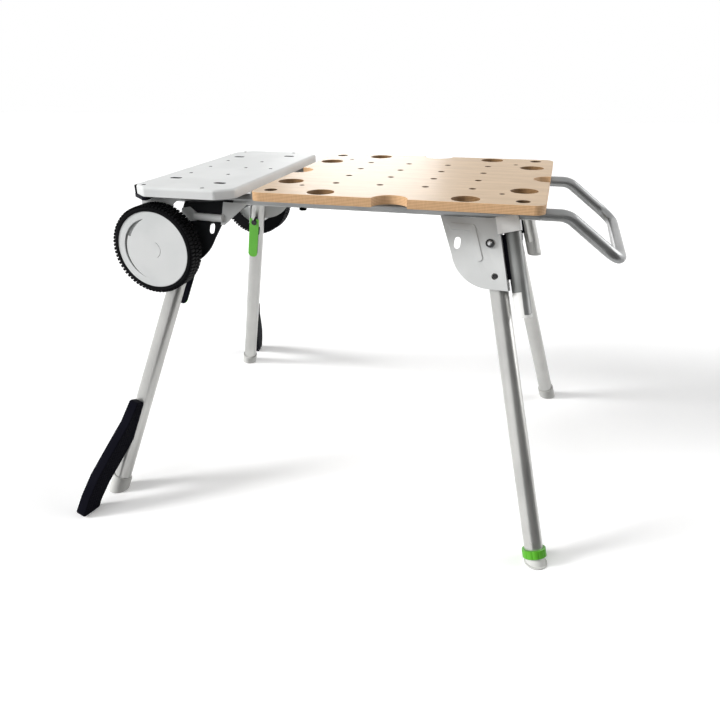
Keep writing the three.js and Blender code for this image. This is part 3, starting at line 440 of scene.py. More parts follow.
def board_loops():
    x0, x1, y = BOARD_X[0] + EDGE, BOARD_X[1] - EDGE, BOARD_SIDE - EDGE
    corner, notch = CORNER, NOTCH + EDGE
    lip = math.degrees(math.asin(EDGE / notch))
    outline = arc(MIDDLE, -y - EDGE, notch, 180 - lip, lip, 40)
    outline += arc(x1 - corner, corner - y, corner, -90, 0)
    outline += arc(x1 + EDGE, 0, notch, 270 - lip, 90 + lip, 40)
    outline += arc(x1 - corner, y - corner, corner, 0, 90)
    outline += arc(MIDDLE, y + EDGE, notch, -lip, -180 + lip, 40)
    outline += arc(x0 + corner, y - corner, corner, 90, 180)
    outline += arc(x0 - EDGE, 0, notch, 90 - lip, -90 + lip, 40)
    outline += arc(x0 + corner, corner - y, corner, 180, 270)
    return [outline] + [hole(x, y, radius + EDGE, steps) for x, y, radius, steps in board_holes()]


def make_board():
    mesh = tidied(routed("board", board_loops(), BOARD_LOW, 0, EDGE), origin)
    board = dress(shown("board", mesh), "plywood_board")
    mesh = board.data
    for tone in (birch_edges, birch_bores, birch_walls):
        mesh.materials.append(tone)
    small = [at(x, y, 0).xy for x, y, radius, _ in board_holes() if radius < GRIP]
    grips = [at(x, y, 0).xy for x, y, radius, _ in board_holes() if radius == GRIP]
    for face in mesh.polygons:
        face.material_index = 1 if abs(face.normal.z) < 0.8 else 0
        if abs(face.normal.z) < 0.97 and close_to(face, small, HOLE_REACH):
            face.material_index = 2
        elif face.material_index and close_to(face, grips, GRIP + 2):
            face.material_index = 3
    return board


board = make_board()
print("board", len(board.data.polygons), "faces")

# %% [markdown]
# ## The tray
# The tray is pressed from sheet: the top turns down into a skirt over a soft bend. The bend is a
# fillet that follows the outline, so the outline is stepped in and up in small turns, and the top
# face with its slots is a routed sheet inside the last step.

# %% The tray's outline
TRAY_X = (-560.0, -327.0)
TRAY_SIDE, SKIRT = 280, -20.0
CHAMFER = (35, 30)  # along the tray and across it
TRAY_CORNER = 12  # the fillets at the chamfers' ends
BEND = 6.0
SHEET = 2.5
SLOTS = ((-512, 164), (-386, 202))
TRAY_HOLES = ((-512, 96), (-418, 96), (-537, 255), (-396, 262))
MIDDLE_HOLES = (-512, -418, -354)
TRAY_HOLE, TRAY_HOLE_STEPS = 4.5, 24
SHADED_WALL_LOW = -2.6  # the holes' walls lie above this height, and the bend's steep part below it
SLOT_LENGTH, SLOT_WIDTH = 28, 15
SLOT_CUP, HOLE_CUP, CUP_WALL = 12, 6, 0.6


def tray_outline(inset):
    """The tray's chamfered outline, stepped in by the same amount on every side."""
    x0, x1, y = TRAY_X[0] + inset, TRAY_X[1] - inset, TRAY_SIDE - inset
    along, across = CHAMFER
    slope = math.hypot(along, across)
    cx = along - inset * (1 - (slope - along) / across)
    cy = across - inset * (1 - (slope - across) / along)
    inner = [(x1 - cx, -y), (x1, cy - y), (x1, y - cy), (x1 - cx, y)]
    return [(x0 + cx, -y)] + inner + [(x0 + cx, y), (x0, y - cy), (x0, cy - y)]


def rounded(points, radius, steps=5):
    """The same closed outline with each corner turned by a fillet, or by its own in a list."""
    result, radii = [], radius if isinstance(radius, list) else [radius] * len(points)
    for i, here in enumerate(points):
        a, b, c = Vector(points[i - 1]), Vector(here), Vector(points[(i + 1) % len(points)])
        back, on = (a - b).normalized(), (c - b).normalized()
        half = back.angle(on) / 2
        if half > 1.5:
            result.append(here)
            continue
        reach = min(radii[i] / math.tan(half), (a - b).length * 0.49, (c - b).length * 0.49)
        size = reach * math.tan(half)
        centre = b + (back + on).normalized() * math.hypot(reach, size)
        first, last = b + back * reach - centre, b + on * reach - centre
        for step in range(steps + 1):
            turn = first.lerp(last, step / steps).normalized() * size
            result.append(tuple(centre + turn))
    return result


def slot_loop(x, y, length, width):
    reach = (length - width) / 2
    return arc(x - reach, y, width / 2, 270, 90, 16) + arc(x + reach, y, width / 2, 90, -90, 16)


# %% [markdown]
# Strip and sheet are joined and given their thickness together. Under each hole hangs a small dark cup,
# and the holes' own walls are dark too. Both are painted shade, which makes the holes look deep.

# %% The tray
def tray_walls():
    """The skirt and the bend, as one strip that is given its thickness afterwards."""
    rings = [(0.0, SKIRT)]
    for turn in map(math.radians, range(0, 91, 15)):
        rings.append((BEND * (1 - math.cos(turn)), BEND * (math.sin(turn) - 1)))
    mesh = bpy.data.meshes.new("tray_walls")
    points, faces = [], []
    for inset, height in rings:
        loop = rounded(tray_outline(inset), TRAY_CORNER - inset)
        points += [(x * MM, y * MM, height * MM) for x, y in loop]
    count = len(points) // len(rings)
    for lower in range(0, (len(rings) - 1) * count, count):
        upper = lower + count
        for i in range(count):
            j = (i + 1) % count
            faces.append((lower + i, lower + j, upper + j, upper + i))
    mesh.from_pydata(points, [], faces)
    return mesh


def shade_cup(loop, depth):
    """A near black cup under a hole, which is painted shade: an open ring of wall with a floor."""
    count = len(loop)
    points = [(x * MM, y * MM, z * MM) for z in (-SHEET, -SHEET - depth) for x, y in loop]
    sides = [(i, (i + 1) % count, count + (i + 1) % count, count + i) for i in range(count)]
    mesh = bpy.data.meshes.new("shade_cup")
    mesh.from_pydata(points, [], sides + [tuple(range(count, 2 * count))])
    holder = shown("shade_cup", tidied(mesh, origin))
    thick = holder.modifiers.new("wall", "SOLIDIFY")
    thick.thickness, thick.offset = CUP_WALL * MM, 0
    return evaluated(holder)


def make_tray():
    loops = [rounded(tray_outline(BEND), TRAY_CORNER - BEND)]
    for back in (-1, 1):
        loops += [slot_loop(x, back * y, SLOT_LENGTH, SLOT_WIDTH) for x, y in SLOTS]
        loops += [hole(x, back * y, TRAY_HOLE, TRAY_HOLE_STEPS) for x, y in TRAY_HOLES]
    loops += [hole(x, 0, TRAY_HOLE, TRAY_HOLE_STEPS) for x in MIDDLE_HOLES]
    skin = bmesh.new()
    skin.from_mesh(routed("tray_top", loops, 0, 0, 0))
    skin.from_mesh(tray_walls())
    bmesh.ops.remove_doubles(skin, verts=skin.verts, dist=5e-6)
    bmesh.ops.recalc_face_normals(skin, faces=skin.faces)
    if sum(f.normal.z for f in skin.faces if abs(f.normal.z) > 0.9) < 0:
        bmesh.ops.reverse_faces(skin, faces=skin.faces)
    mesh = bpy.data.meshes.new("tray")
    skin.to_mesh(mesh)
    skin.free()
    tray = shown("tray", mesh)
    wall = tray.modifiers.new("wall", "SOLIDIFY")
    wall.thickness, wall.offset = SHEET * MM, -1
    solid = evaluated(tray)
    solid.transform(origin)
    shade_cups = [shade_cup(loop, SLOT_CUP if len(loop) > TRAY_HOLE_STEPS else HOLE_CUP) for loop in loops[1:]]
    count = len(solid.polygons)
    tray = dress(shown("tray", joined("tray", solid, *shade_cups)), "wheel_end_tray")
    tray.data.materials.append(painted_shade_black)
    middles = [at(*[sum(axis) / len(loop) for axis in zip(*loop)], 0).xy for loop in loops[1:]]
    lowest = at(0, 0, SHADED_WALL_LOW).z
    # The holes' walls and the cups take the near black, which is painted shade.
    for face in tray.data.polygons:
        steep = abs(face.normal.z) < 0.5 and face.center.z > lowest
        shaded_wall = steep and close_to(face, middles, HOLE_REACH)
        face.material_index = 1 if shaded_wall or face.index >= count else 0
    return tray


tray = make_tray()
print("tray", len(tray.data.polygons), "faces")

# %% [markdown]
# ## The handle
# The handle is one tube, bent four times. A path with rounded corners and a round section follows
# it exactly, which a lathe or a box could not.

# %% The handle's path and tube
HANDLE_ARM = [(284.3, RAIL_HEIGHT), (333, RAIL_HEIGHT), (441, -119)]  # from the rail to the grip
HANDLE_BENDS = [45, 40, 40, 45]
HANDLE_RADIUS = 11.9


def fillet_path(corners, radii, steps=10):
    """A path in space through corners, each turned by its radius."""
    points = [Vector(corners[0])]
    for i in range(1, len(corners) - 1):
        here = Vector(corners[i])
        back = (Vector(corners[i - 1]) - here).normalized()
        on = (Vector(corners[i + 1]) - here).normalized()
        half = back.angle(on) / 2
        reach = radii[i - 1] / math.tan(half)
        centre = here + (back + on).normalized() * (radii[i - 1] / math.sin(half))
        first, last = here + back * reach - centre, here + on * reach - centre
        whole = first.angle(last)
        for step in range(steps + 1):
            share = step / steps
            mixed = first * math.sin((1 - share) * whole) + last * math.sin(share * whole)
            points.append(centre + mixed / math.sin(whole))
    return points + [Vector(corners[-1])]


def tube(name, points, radius):
    curve = bpy.data.curves.new(name, "CURVE")
    curve.dimensions, curve.use_fill_caps = "3D", True
    curve.bevel_depth, curve.bevel_resolution = radius * MM, 8
    spline = curve.splines.new("POLY")
    spline.points.add(len(points) - 1)
    for point, place in zip(spline.points, points):
        point.co = (*at(*place), 1)
    return tidied(evaluated(shown(name, curve)), Matrix.Identity(4))


def make_handle():
    corners = []
    for back in (-1, 1):
        arm = [(x, back * RAIL_SIDE, z) for x, z in HANDLE_ARM]
        corners += arm if back < 0 else arm[::-1]
    path = fillet_path(corners, HANDLE_BENDS)
    return dress(shown("handle", tube("handle", path, HANDLE_RADIUS)), "handle_loop")


handle = make_handle()
print("handle", len(handle.data.polygons), "faces")

# %% [markdown]
# ## The wheels
# A wheel is turned about its axle, so its tyre, rim and cover are lathe profiles. The tread is a
# ring of small lugs in staggered rows, which Geometry Nodes set round it from one lug.

# %% Lathe work about the axle
WHEEL = (-516.0, -132.0)
WHEEL_MIDDLE = 268  # from the stand's middle plane to the tyres'
SIDES = ((-1, "near"), (1, "far"))


def turn(name, profile, side, steps=96):
    """A closed profile of (radius, distance from the middle plane) turned about the axle."""
    points, faces = [], []
    for step in range(steps):
        angle = 2 * math.pi * step / steps
        for radius, out in profile:
            x, z = WHEEL[0] + radius * math.cos(angle), WHEEL[1] + radius * math.sin(angle)
            points.append(at(x, side * out, z))
    count = len(profile)
    for step in range(steps):
        after = (step + 1) % steps
        for i in range(count):
            j = (i + 1) % count
            faces.append((step * count + i, step * count + j, after * count + j, after * count + i))
    mesh = bpy.data.meshes.new(name)
    mesh.from_pydata(points, [], faces)
    return tidied(mesh, Matrix.Identity(4))


# %% [markdown]
# The node tree takes the number of lugs and their sizes as inputs. It sets a block on each corner
# of three rings, turned so that it points away from the axle.

# %% The tread
LUGS = 72
STAGGER = 3.0  # degrees between the middle row and the outer ones


def lug_tree():
    """Geometry Nodes that set rows of lugs round a wheel lying about the Y axis."""
    tree = bpy.data.node_groups.new("tread", "GeometryNodeTree")
    face = tree.interface
    face.new_socket("Geometry", in_out="OUTPUT", socket_type="NodeSocketGeometry")
    face.new_socket("Lugs", in_out="INPUT", socket_type="NodeSocketInt")
    for name in ("Radius", "Row spacing", "Length", "Height", "Width"):
        face.new_socket(name, in_out="INPUT", socket_type="NodeSocketFloat")
    face.new_socket("Finish", in_out="INPUT", socket_type="NodeSocketMaterial")
    given = tree.nodes.new("NodeGroupInput").outputs
    make, link = tree.nodes.new, tree.links.new
    lug = make("GeometryNodeMeshCube")
    size = make("ShaderNodeCombineXYZ")
    for i, name in enumerate(("Height", "Width", "Length")):
        link(given[name], size.inputs[i])
    link(size.outputs[0], lug.inputs["Size"])
    gather = make("GeometryNodeJoinGeometry")
    for row in (-1, 0, 1):
        ring = make("GeometryNodeMeshCircle")
        link(given["Lugs"], ring.inputs["Vertices"])
        link(given["Radius"], ring.inputs["Radius"])
        turned = make("GeometryNodeTransform")
        link(ring.outputs[0], turned.inputs["Geometry"])
        stagger = STAGGER * (row % 2)
        turned.inputs["Rotation"].default_value = (math.radians(90), math.radians(stagger), 0)
        shift = make("ShaderNodeMath")
        shift.operation = "MULTIPLY"
        link(given["Row spacing"], shift.inputs[0])
        shift.inputs[1].default_value = row
        across = make("ShaderNodeCombineXYZ")
        link(shift.outputs[0], across.inputs[1])
        link(across.outputs[0], turned.inputs["Translation"])
        place = make("GeometryNodeInputPosition")
        flat = make("ShaderNodeVectorMath")
        flat.operation = "MULTIPLY"
        link(place.outputs[0], flat.inputs[0])
        flat.inputs[1].default_value = (1, 0, 1)
        aim = make("FunctionNodeAlignRotationToVector")
        aim.axis = "X"
        link(flat.outputs[0], aim.inputs["Vector"])
        put = make("GeometryNodeInstanceOnPoints")
        link(turned.outputs[0], put.inputs["Points"])
        link(lug.outputs["Mesh"], put.inputs["Instance"])
        link(aim.outputs[0], put.inputs["Rotation"])
        link(put.outputs[0], gather.inputs[0])
    real = make("GeometryNodeRealizeInstances")
    link(gather.outputs[0], real.inputs[0])
    paint = make("GeometryNodeSetMaterial")
    link(real.outputs[0], paint.inputs["Geometry"])
    link(given["Finish"], paint.inputs["Material"])
    link(paint.outputs[0], make("NodeGroupOutput").inputs[0])
    return tree


tread = lug_tree()


def lugs(side):
    holder = shown("lugs", bpy.data.meshes.new("lugs"))
    modifier = holder.modifiers.new("tread", "NODES")
    modifier.node_group = tread
    sizes = {"Lugs": LUGS, "Radius": 94.0 * MM, "Row spacing": 14 * MM, "Length": 5.4 * MM,
             "Height": 3.5 * MM, "Width": 11.4 * MM, "Finish": finishes["tyre_rubber"]}
    for item in tread.interface.items_tree:
        if item.in_out == "INPUT":
            modifier[item.identifier] = sizes[item.name]
    mesh = evaluated(holder)
    mesh.transform(Matrix.Translation(at(WHEEL[0], side * WHEEL_MIDDLE, WHEEL[1])))
    return mesh


# %% [markdown]
# The cover has three layers, a disc, a step and a face, and the finger recess goes through the upper
# two, so that its floor and its wall can take painted shade. A lathe can't cut the recess, so those two
# layers are routed flat and turned upright.

# %% Tyres, rims and covers
RECESS = 68  # radius of the finger recess's outer edge
RECESS_TOP, RECESS_STEP, RECESS_BOTTOM = 96, 153, 264  # degrees round from the handle's direction


def recess():
    """The finger recess in a cover: widest at a step, and nothing at both ends."""
    outer = arc(0, 0, RECESS, RECESS_TOP, RECESS_BOTTOM, 48)

    def inner(start, end, width):
        loop = []
        for step in range(25):
            share = step / 24
            turn = math.radians(start + (end - start) * share)
            radius = RECESS - width * math.cos(share * math.pi / 2)
            loop.append((radius * math.cos(turn), radius * math.sin(turn)))
        return loop

    lower, upper = inner(RECESS_STEP, RECESS_BOTTOM, 7), inner(RECESS_STEP, RECESS_TOP, 12)
    return (outer + lower[::-1][1:] + upper[:-1])[::-1]


def upright(side):
    """Turns a plate drawn flat so that it faces outwards on a wheel."""
    turned = Matrix.Rotation(math.radians(90), 4, "X")
    if side > 0:
        turned = Matrix.Rotation(math.pi, 4, "Z") @ Matrix.Scale(-1, 4, (1, 0, 0)) @ turned
    return Matrix.Translation(at(WHEEL[0], 0, WHEEL[1])) @ turned


# The recess's floor and its wall are darker greys of the cover, which is painted shade.
recess_floor_shade = coat("recess_floor_shade", (0.36, 0.37, 0.365), (0.42, 0.43, 0.425), 0.5, **MOULDED)
recess_wall_shade = coat("recess_wall_shade", (0.10, 0.105, 0.10), (0.14, 0.145, 0.14), 0.6, **MOULDED)

# Closed profiles, as radius and distance from the stand's middle plane
TYRE = [(61.3, 246), (90, 246), (92.4, 251), (92.4, 285), (90, 290), (83.3, 290), (83.3, 249.6),
        (61.3, 249.6)]
TYRE_FILLETS = [1.2, 4, 4, 4, 4, 1, 1, 1.2]
RIM = [(7.3, 241.3), (20, 241.3), (20, 273), (74, 273), (74, 249.9), (83, 249.9), (83, 285),
       (74, 285), (74, 281), (12.8, 281), (12.8, 276.4), (7.3, 276.4)]
DISC = [(0.4, 281.3), (73.6, 281.3), (73.6, 282.75), (0.4, 282.75)]
FACE_RADIUS, STEP_RADIUS = 82.1, 73.6
FACE, STEP = (285.15, 288.3, 0.8), (282.8, 285.1, 0.1)  # inner side, outer side and rounding
GROOVE_OUTER, GROOVE_INNER, GROOVE_TURN = 20, 17.8, 62


def make_wheel(side, where):
    tyre_mesh = turn("tyre", rounded(TYRE, TYRE_FILLETS), side, 120)
    dress(shown("tyre_" + where, joined("tyre", tyre_mesh, lugs(side))), "tyre_" + where)
    dress(shown("rim_" + where, turn("rim", rounded(RIM, 1.2, 3), side)), "wheel_rim_" + where)
    disc = turn("disc", rounded(DISC, 0.3, 2), side)
    groove = arc(0, 0, GROOVE_OUTER, GROOVE_TURN, -GROOVE_TURN, 24)
    groove += arc(0, 0, GROOVE_INNER, -GROOVE_TURN, GROOVE_TURN, 24)
    face_loops = [arc(0, 0, FACE_RADIUS, 0, 360, 120)[:-1], recess(), groove]
    face = tidied(routed("face", face_loops, *FACE), upright(side))
    step_loops = [arc(0, 0, STEP_RADIUS, 0, 360, 120)[:-1], recess()]
    step = tidied(routed("step", step_loops, *STEP), upright(side))
    layers = shown("cover_" + where, joined("cover", disc, step, face))
    cover = dress(layers, "hub_cover_" + where).data
    cover.materials.append(recess_floor_shade)
    cover.materials.append(recess_wall_shade)
    floor_faces, wall_faces = len(disc.polygons), len(step.polygons)
    for part in cover.polygons[:floor_faces]:
        part.material_index = 1
    for part in cover.polygons[floor_faces:floor_faces + wall_faces]:
        part.material_index = 2


for side, where in SIDES:
    make_wheel(side, where)
print("two wheels with", 3 * LUGS, "lugs each")

# %% [markdown]
# ## The foot pedals
# Each pedal is a flat moulded blade on the outside of a wheel-end leg. It is drawn in the leg's own
# plane, with its reach and its height along the leg, and its broad faces have rows of small dimples
# so that a shoe does not slip. Its own UV map carries the dimples along.

# %% A dimpled finish
DIMPLE_PITCH = 7.0


def dimpled():
    material, shader, place = finish("dimpled_plastic")
    flat = place.node("ShaderNodeUVMap", {"uv_map": "blade"}, {}, "UV")
    sums, density = "ShaderNodeVectorMath", 1 / DIMPLE_PITCH
    spread = flat.node(sums, {"operation": "SCALE"}, {0: flat, "Scale": density})
    part = spread.node(sums, {"operation": "FRACTION"}, {0: spread})
    off = part.node(sums, {"operation": "SUBTRACT"}, {0: part, 1: (0.5, 0.5, 0)})
    gap = off.node(sums, {"operation": "LENGTH"}, {0: off}, "Value")
    dot = gap.node("ShaderNodeMapRange", {"interpolation_type": "SMOOTHSTEP"},
                   {"Value": gap, "From Min": 0.22, "From Max": 0.36, "To Min": 1.0, "To Max": 0.0})
    # The dimples are a touch darker than the blade round them, which is painted shade in the recesses.
    wire(tint(dot, (0.003, 0.003, 0.006), (0.001, 0.001, 0.002), 0.2, 0.8), shader, "Base Color")
    wire(speckle(place, 9.0) * 0.1 + 0.6, shader, "Roughness")
    shader.inputs["Specular IOR Level"].default_value = 0.03
    relief(1 - dot, shader, 0.0012)
    return material


dimples = dimpled()

# %% [markdown]
# A leg leans two ways at once, so it has a frame of its own, with its pivot as the origin. The
# pedals, the bolts' buttons and the shading of the tubes all use it.

# %% The legs' planes and the pedals
LEAN, SPLAY = 0.3295, {1: 0.2503, -1: 0.2775}  # sideways and endward travel for each unit down
FOLD_SKEW = math.radians(6)
PIVOT_X, PIVOT_SIDE, PIVOT_Z = {1: 195, -1: -471}, 181, -100
PIVOT_RISE = 610  # from the floor to the pivots


def leg_frame(end, side):
    """The axes of one leg: across it, along its hinge and up it, and its length below its pivot."""
    down = Vector((end * SPLAY[end], side * LEAN, -1)).normalized()
    folded = Vector((-end * math.cos(FOLD_SKEW), -end * side * math.sin(FOLD_SKEW), 0))
    hinge = (-down).cross(folded).normalized() * -end
    across = hinge.cross(-down)
    pivot = at(PIVOT_X[end], side * PIVOT_SIDE, PIVOT_Z)
    turned = Matrix((across, hinge, -down)).transposed().to_4x4()
    return Matrix.Translation(pivot) @ turned, PIVOT_RISE / -down.z


def round_walls(mesh, matrix):
    """Shades the walls of a leg as true cylinders, however their faces are cut."""
    turned, back = matrix.to_3x3(), matrix.inverted()
    normals = [None] * len(mesh.loops)
    for face in mesh.polygons:
        for corner in face.loop_indices:
            spot = back @ mesh.vertices[mesh.loops[corner].vertex_index].co
            out = turned @ Vector((spot.x, spot.y, 0)).normalized()
            along = face.normal.dot(out)
            normals[corner] = out * math.copysign(1, along) if abs(along) > 0.9 else face.normal
    mesh.normals_split_custom_set(normals)


# The blade's outline, as reach from the leg's axis and height along it above the ground
PEDAL_HEEL = [(15.6, 236), (15.6, 140), (22, 126), (42, 80), (61, 39), (72, -3), (72, -23)]
PEDAL_EDGE = [(120.5, -39.5), (117, 8), (106, 58), (79, 121), (51, 184), (40, 236)]
PEDAL_FILLET, PEDAL_ROUND = 6, 2.4
PEDAL_SIDES = (-11, 13)


def make_pedal(side, where):
    matrix, length = leg_frame(-1, side)
    loop = rounded([(x, y - length) for x, y in PEDAL_HEEL + PEDAL_EDGE], PEDAL_FILLET, 4)
    inset = []
    for i, here in enumerate(loop):
        on = Vector(loop[(i + 1) % len(loop)]) - Vector(loop[i - 1])
        normal = Vector((on.y, -on.x)).normalized()
        inset.append(tuple(Vector(here) - normal * PEDAL_ROUND))
    mesh = routed("pedal", [inset], *PEDAL_SIDES, PEDAL_ROUND)
    uv = mesh.uv_layers.new(name="blade")
    for corner in mesh.loops:
        point = mesh.vertices[corner.vertex_index].co
        uv.data[corner.index].uv = (point.x / MM, point.y / MM)
    flat = Matrix(((0, 0, 1, 0), (side, 0, 0, 0), (0, 1, 0, 0), (0, 0, 0, 1)))
    tidied(mesh, matrix @ flat)
    mesh = dress(shown("pedal_" + where, mesh), "foot_pedal_" + where, dimples).data
    mesh.materials.append(finishes["black_plastic"])
    across = matrix.to_3x3() @ Vector((1, 0, 0))
    for face in mesh.polygons:
        face.material_index = 0 if abs(face.normal.dot(across)) > 0.9 else 1


for side, where in SIDES:
    make_pedal(side, where)
print("two foot pedals")

# %% [markdown]
# ## Everything else
# The legs, brackets, levers, bolts, caps and rails have the right shapes already, so they get softened
# copies, with narrow edges on tubes and sheets and wide ones on moulded caps. The legs keep their
# edges, and their walls are shaded as true cylinders. Some pieces have two finishes. The brackets'
# bolts are dark with a bright button. The levers are green outside and black towards the leg, and that
# black is painted shade. Whatever stands above or below a rail, such as a seat or a nut, is near black,
# and on the screws in the board's holes that black is painted shade.

# %% The other pieces
def ends_of(node):
    """Which leg a piece belongs to: its end, 1 for the handle's, and its side, 1 for the far one."""
    return (1 if "handle_end" in node else -1), (1 if node.endswith("far") else -1)


BUTTON = [(4.8, 32.6), (4.6, 33.4), (3.6, 34.2), (2.0, 34.6), (0.02, 34.7)]  # radius and reach


def button(end, side):
    """A bright dome on the head of a leg's pivot bolt."""
    matrix, _ = leg_frame(end, side)
    points, faces, steps = [], [], 32
    for step in range(steps):
        angle = 2 * math.pi * step / steps
        x, z = math.cos(angle) * MM, math.sin(angle) * MM
        points += [(radius * x, side * out * MM, radius * z) for radius, out in BUTTON]
    count = len(BUTTON)
    for step in range(steps):
        here, after = step * count, (step + 1) % steps * count
        faces += [(here + i, here + i + 1, after + i + 1, after + i) for i in range(count - 1)]
    mesh = bpy.data.meshes.new("button")
    mesh.from_pydata(points, [], faces)
    return tidied(mesh, matrix)


# %% [markdown]
# Two tables say how wide the edges are and which pieces have a finish of their own. They go by how
# a name starts, so one line serves the near and the far side.

# %% Softening the rest
USUAL_WIDTH = 0.6  # millimetres that an edge is rounded by
WIDTHS = {
    "leg_tube": 0.0, "foot_cap": 2.2, "levelling_collar": 1.4, "levelling_pad": 2.4,
    "tray_bumper": 1.4, "parking_clamp": 1.2, "release_lever": 0.9, "pivot_bolt": 0.28,
    "leg_bracket": 1.2, "cross_member": 1.0, "brace": 0.8, "lever_pin": 0.3, "parking_plug": 0.8,
}
# A lever's faces nearer to its leg than this are painted black as shade, where the lever's channel
# faces the leg.
LEVER_SHADE_REACH = 37.0  # a lever's faces nearer to its leg's axis than this are black
RAIL_TOP, RAIL_BOTTOM = -17, -48  # what a rail carries past these heights is dark

dark_steel = coat("dark_steel", (0.03, 0.03, 0.032), (0.06, 0.06, 0.063), 0.35,
                  metallic=0.8, **BOLT_GRAIN)
bright_steel = coat("bright_steel", (0.55, 0.56, 0.57), (0.66, 0.67, 0.68), 0.34,
                    metallic=0.8, **BOLT_GRAIN)
# A darker copy of the light sheet for the handle-end brackets, which is painted shade from the board
# above them.
shaded_bracket_sheet = coat("shaded_bracket_sheet", (0.54, 0.55, 0.545), (0.60, 0.61, 0.605), 0.42,
                    metallic=0.05, **SHEET_GRAIN)
own_finish = {
    "pivot_bolt": dark_steel,
    "lock_pin": dark_steel,
    "leg_bracket_handle_end": shaded_bracket_sheet,
    "levelling_collar": coat("collar_green", (0.06, 0.30, 0.015), (0.09, 0.38, 0.02), 0.4, **MOULDED),
    # The near parking foot takes a darker steel than the far one, which is painted shade.
    "parking_foot_near": coat("parking_steel_shaded", (0.20, 0.205, 0.20), (0.27, 0.275, 0.27), 0.36,
                              grain=900, height=0.00002, metallic=0.45),
    # The clamp takes a whiter copy of the light sheet, which is painted light, because the key lamp
    # doesn't reach its faces.
    "parking_clamp": coat("clamp_sheet_painted_light", (0.86, 0.87, 0.865), (0.90, 0.91, 0.905), 0.4, **SHEET_GRAIN),
}


def listed(table, node, other):
    """What a table holds for the start of a node's name."""
    return next((value for start, value in table.items() if node.startswith(start)), other)


def repaint(mesh, material, chosen):
    """Gives a second finish to the faces that are chosen."""
    mesh.materials.append(material)
    for face in mesh.polygons:
        face.material_index = 1 if chosen(face) else 0


def soften_one(node):
    mesh = softened(node, listed(WIDTHS, node, USUAL_WIDTH))
    plain = len(mesh.polygons)
    if node.startswith("leg_tube"):
        round_walls(mesh, leg_frame(*ends_of(node))[0])
    if node.startswith("pivot_bolt"):
        mesh = joined(node, mesh, button(*ends_of(node)))
    own = listed(own_finish, node, None)
    mesh = dress(shown(node + "_shown", mesh), node, own, steady=False).data
    if node.startswith("pivot_bolt"):
        repaint(mesh, bright_steel, lambda face: face.index >= plain)
    # The black towards the leg is painted shade.
    if node.startswith("release_lever"):
        end, side = ends_of(node)
        back = leg_frame(end, side)[0].inverted()
        inner = LEVER_SHADE_REACH * MM
        repaint(mesh, finishes["black_plastic"], lambda face: (back @ face.center).y * -side < inner)
    # Above the rail stand the screws in the board's holes, and their near black is painted shade. The
    # nuts below the rail take the same black.
    if node.startswith("rail_"):
        top, bottom = at(0, 0, RAIL_TOP).z, at(0, 0, RAIL_BOTTOM).z
        repaint(mesh, painted_shade_black, lambda face: not bottom <= face.center.z <= top)


done = {name for piece in bpy.data.objects for name in piece.get("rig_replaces", [])}
for node in sorted(slot_of):
    if node not in done:
        soften_one(node)
print(len(done), "solids dressed by hand,", len(slot_of) - len(done), "by a softened copy")

# %% [markdown]
# ## The studio
# The photograph is a product shot: the stand on a white floor that runs into a white background,
# with a large soft light from the front left and soft shadows. The floor must show the shadows, but
# still look white, so the camera sees a little light of its own on it.

# %% Floor and background
def seen_white(start):
    """1 for what is seen straight, in a reflection or through something, and 0 for bounced light."""
    path = start.node("ShaderNodeLightPath", {}, {}, "Is Camera Ray")
    others = path.socket.node.outputs
    glossy = Value(start.tree, others["Is Glossy Ray"])
    passed = Value(start.tree, others["Is Transmission Ray"])
    return start.sum("MAXIMUM", path, start.sum("MAXIMUM", glossy, passed))


def white_floor():
    material = bpy.data.materials.new("floor")
    material.use_nodes = True
    tree = material.node_tree
    tree.nodes.clear()
    start = Value(tree)
    matte = start.node("ShaderNodeBsdfDiffuse", {}, {"Color": (1, 1, 1, 1)})
    glow = start.node("ShaderNodeEmission", {}, {"Color": (1, 1, 1, 1), "Strength": 0.12})
    both = start.node("ShaderNodeAddShader", {}, {0: matte, 1: glow})
    dull = start.node("ShaderNodeBsdfDiffuse", {}, {"Color": (0.35, 0.35, 0.35, 1)})
    mixed = start.node("ShaderNodeMixShader", {}, {"Fac": seen_white(start), 1: dull, 2: both})
    out = tree.nodes.new("ShaderNodeOutputMaterial")
    tree.links.new(mixed.socket, out.inputs["Surface"])
    return material


FLOOR = 9  # metres from the middle of the floor to its sides


def make_floor():
    mesh = bpy.data.meshes.new("floor")
    corners = [(x * FLOOR, y * FLOOR, 0) for x, y in ((-1, -1), (1, -1), (1, 1), (-1, 1))]
    mesh.from_pydata(corners, [], [(0, 1, 2, 3)])
    mesh.materials.append(white_floor())
    shown("floor", mesh)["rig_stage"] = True


def white_world():
    world = bpy.data.worlds.new("studio")
    bpy.context.scene.world = world
    world.use_nodes = True
    tree = world.node_tree
    tree.nodes.clear()
    start = Value(tree)
    room = start.node("ShaderNodeBackground", {}, {"Color": (1, 1, 1, 1), "Strength": 0.15})
    white = start.node("ShaderNodeBackground", {}, {"Color": (1, 1, 1, 1), "Strength": 1.0})
    mixed = start.node("ShaderNodeMixShader", {}, {"Fac": seen_white(start), 1: room, 2: white})
    out = tree.nodes.new("ShaderNodeOutputWorld")
    tree.links.new(mixed.socket, out.inputs["Surface"])


make_floor()
white_world()
print("floor and white background")

# %% [markdown]
# Four lamps light the stand. The key and front lamps are left out of reflections, because pale
# sheet would mirror them and go white. A black card curves round the nearest foot and then rises,
# and only reflections see it: it gives round tubes the dark line along their middle that they have
# in a studio with a dark side.

# %% Lamps and a dark card
def turned_along(lit, way):
    lit.rotation_mode = "QUATERNION"
    lit.rotation_quaternion = Vector(way).to_track_quat("-Z", "Y")


def distant(name, way, power, spread, mirrored=True):
    light = bpy.data.lights.new(name, "SUN")
    light.energy, light.angle = power, math.radians(spread)
    lit = shown(name, light)
    lit.visible_glossy = mirrored
    turned_along(lit, way)


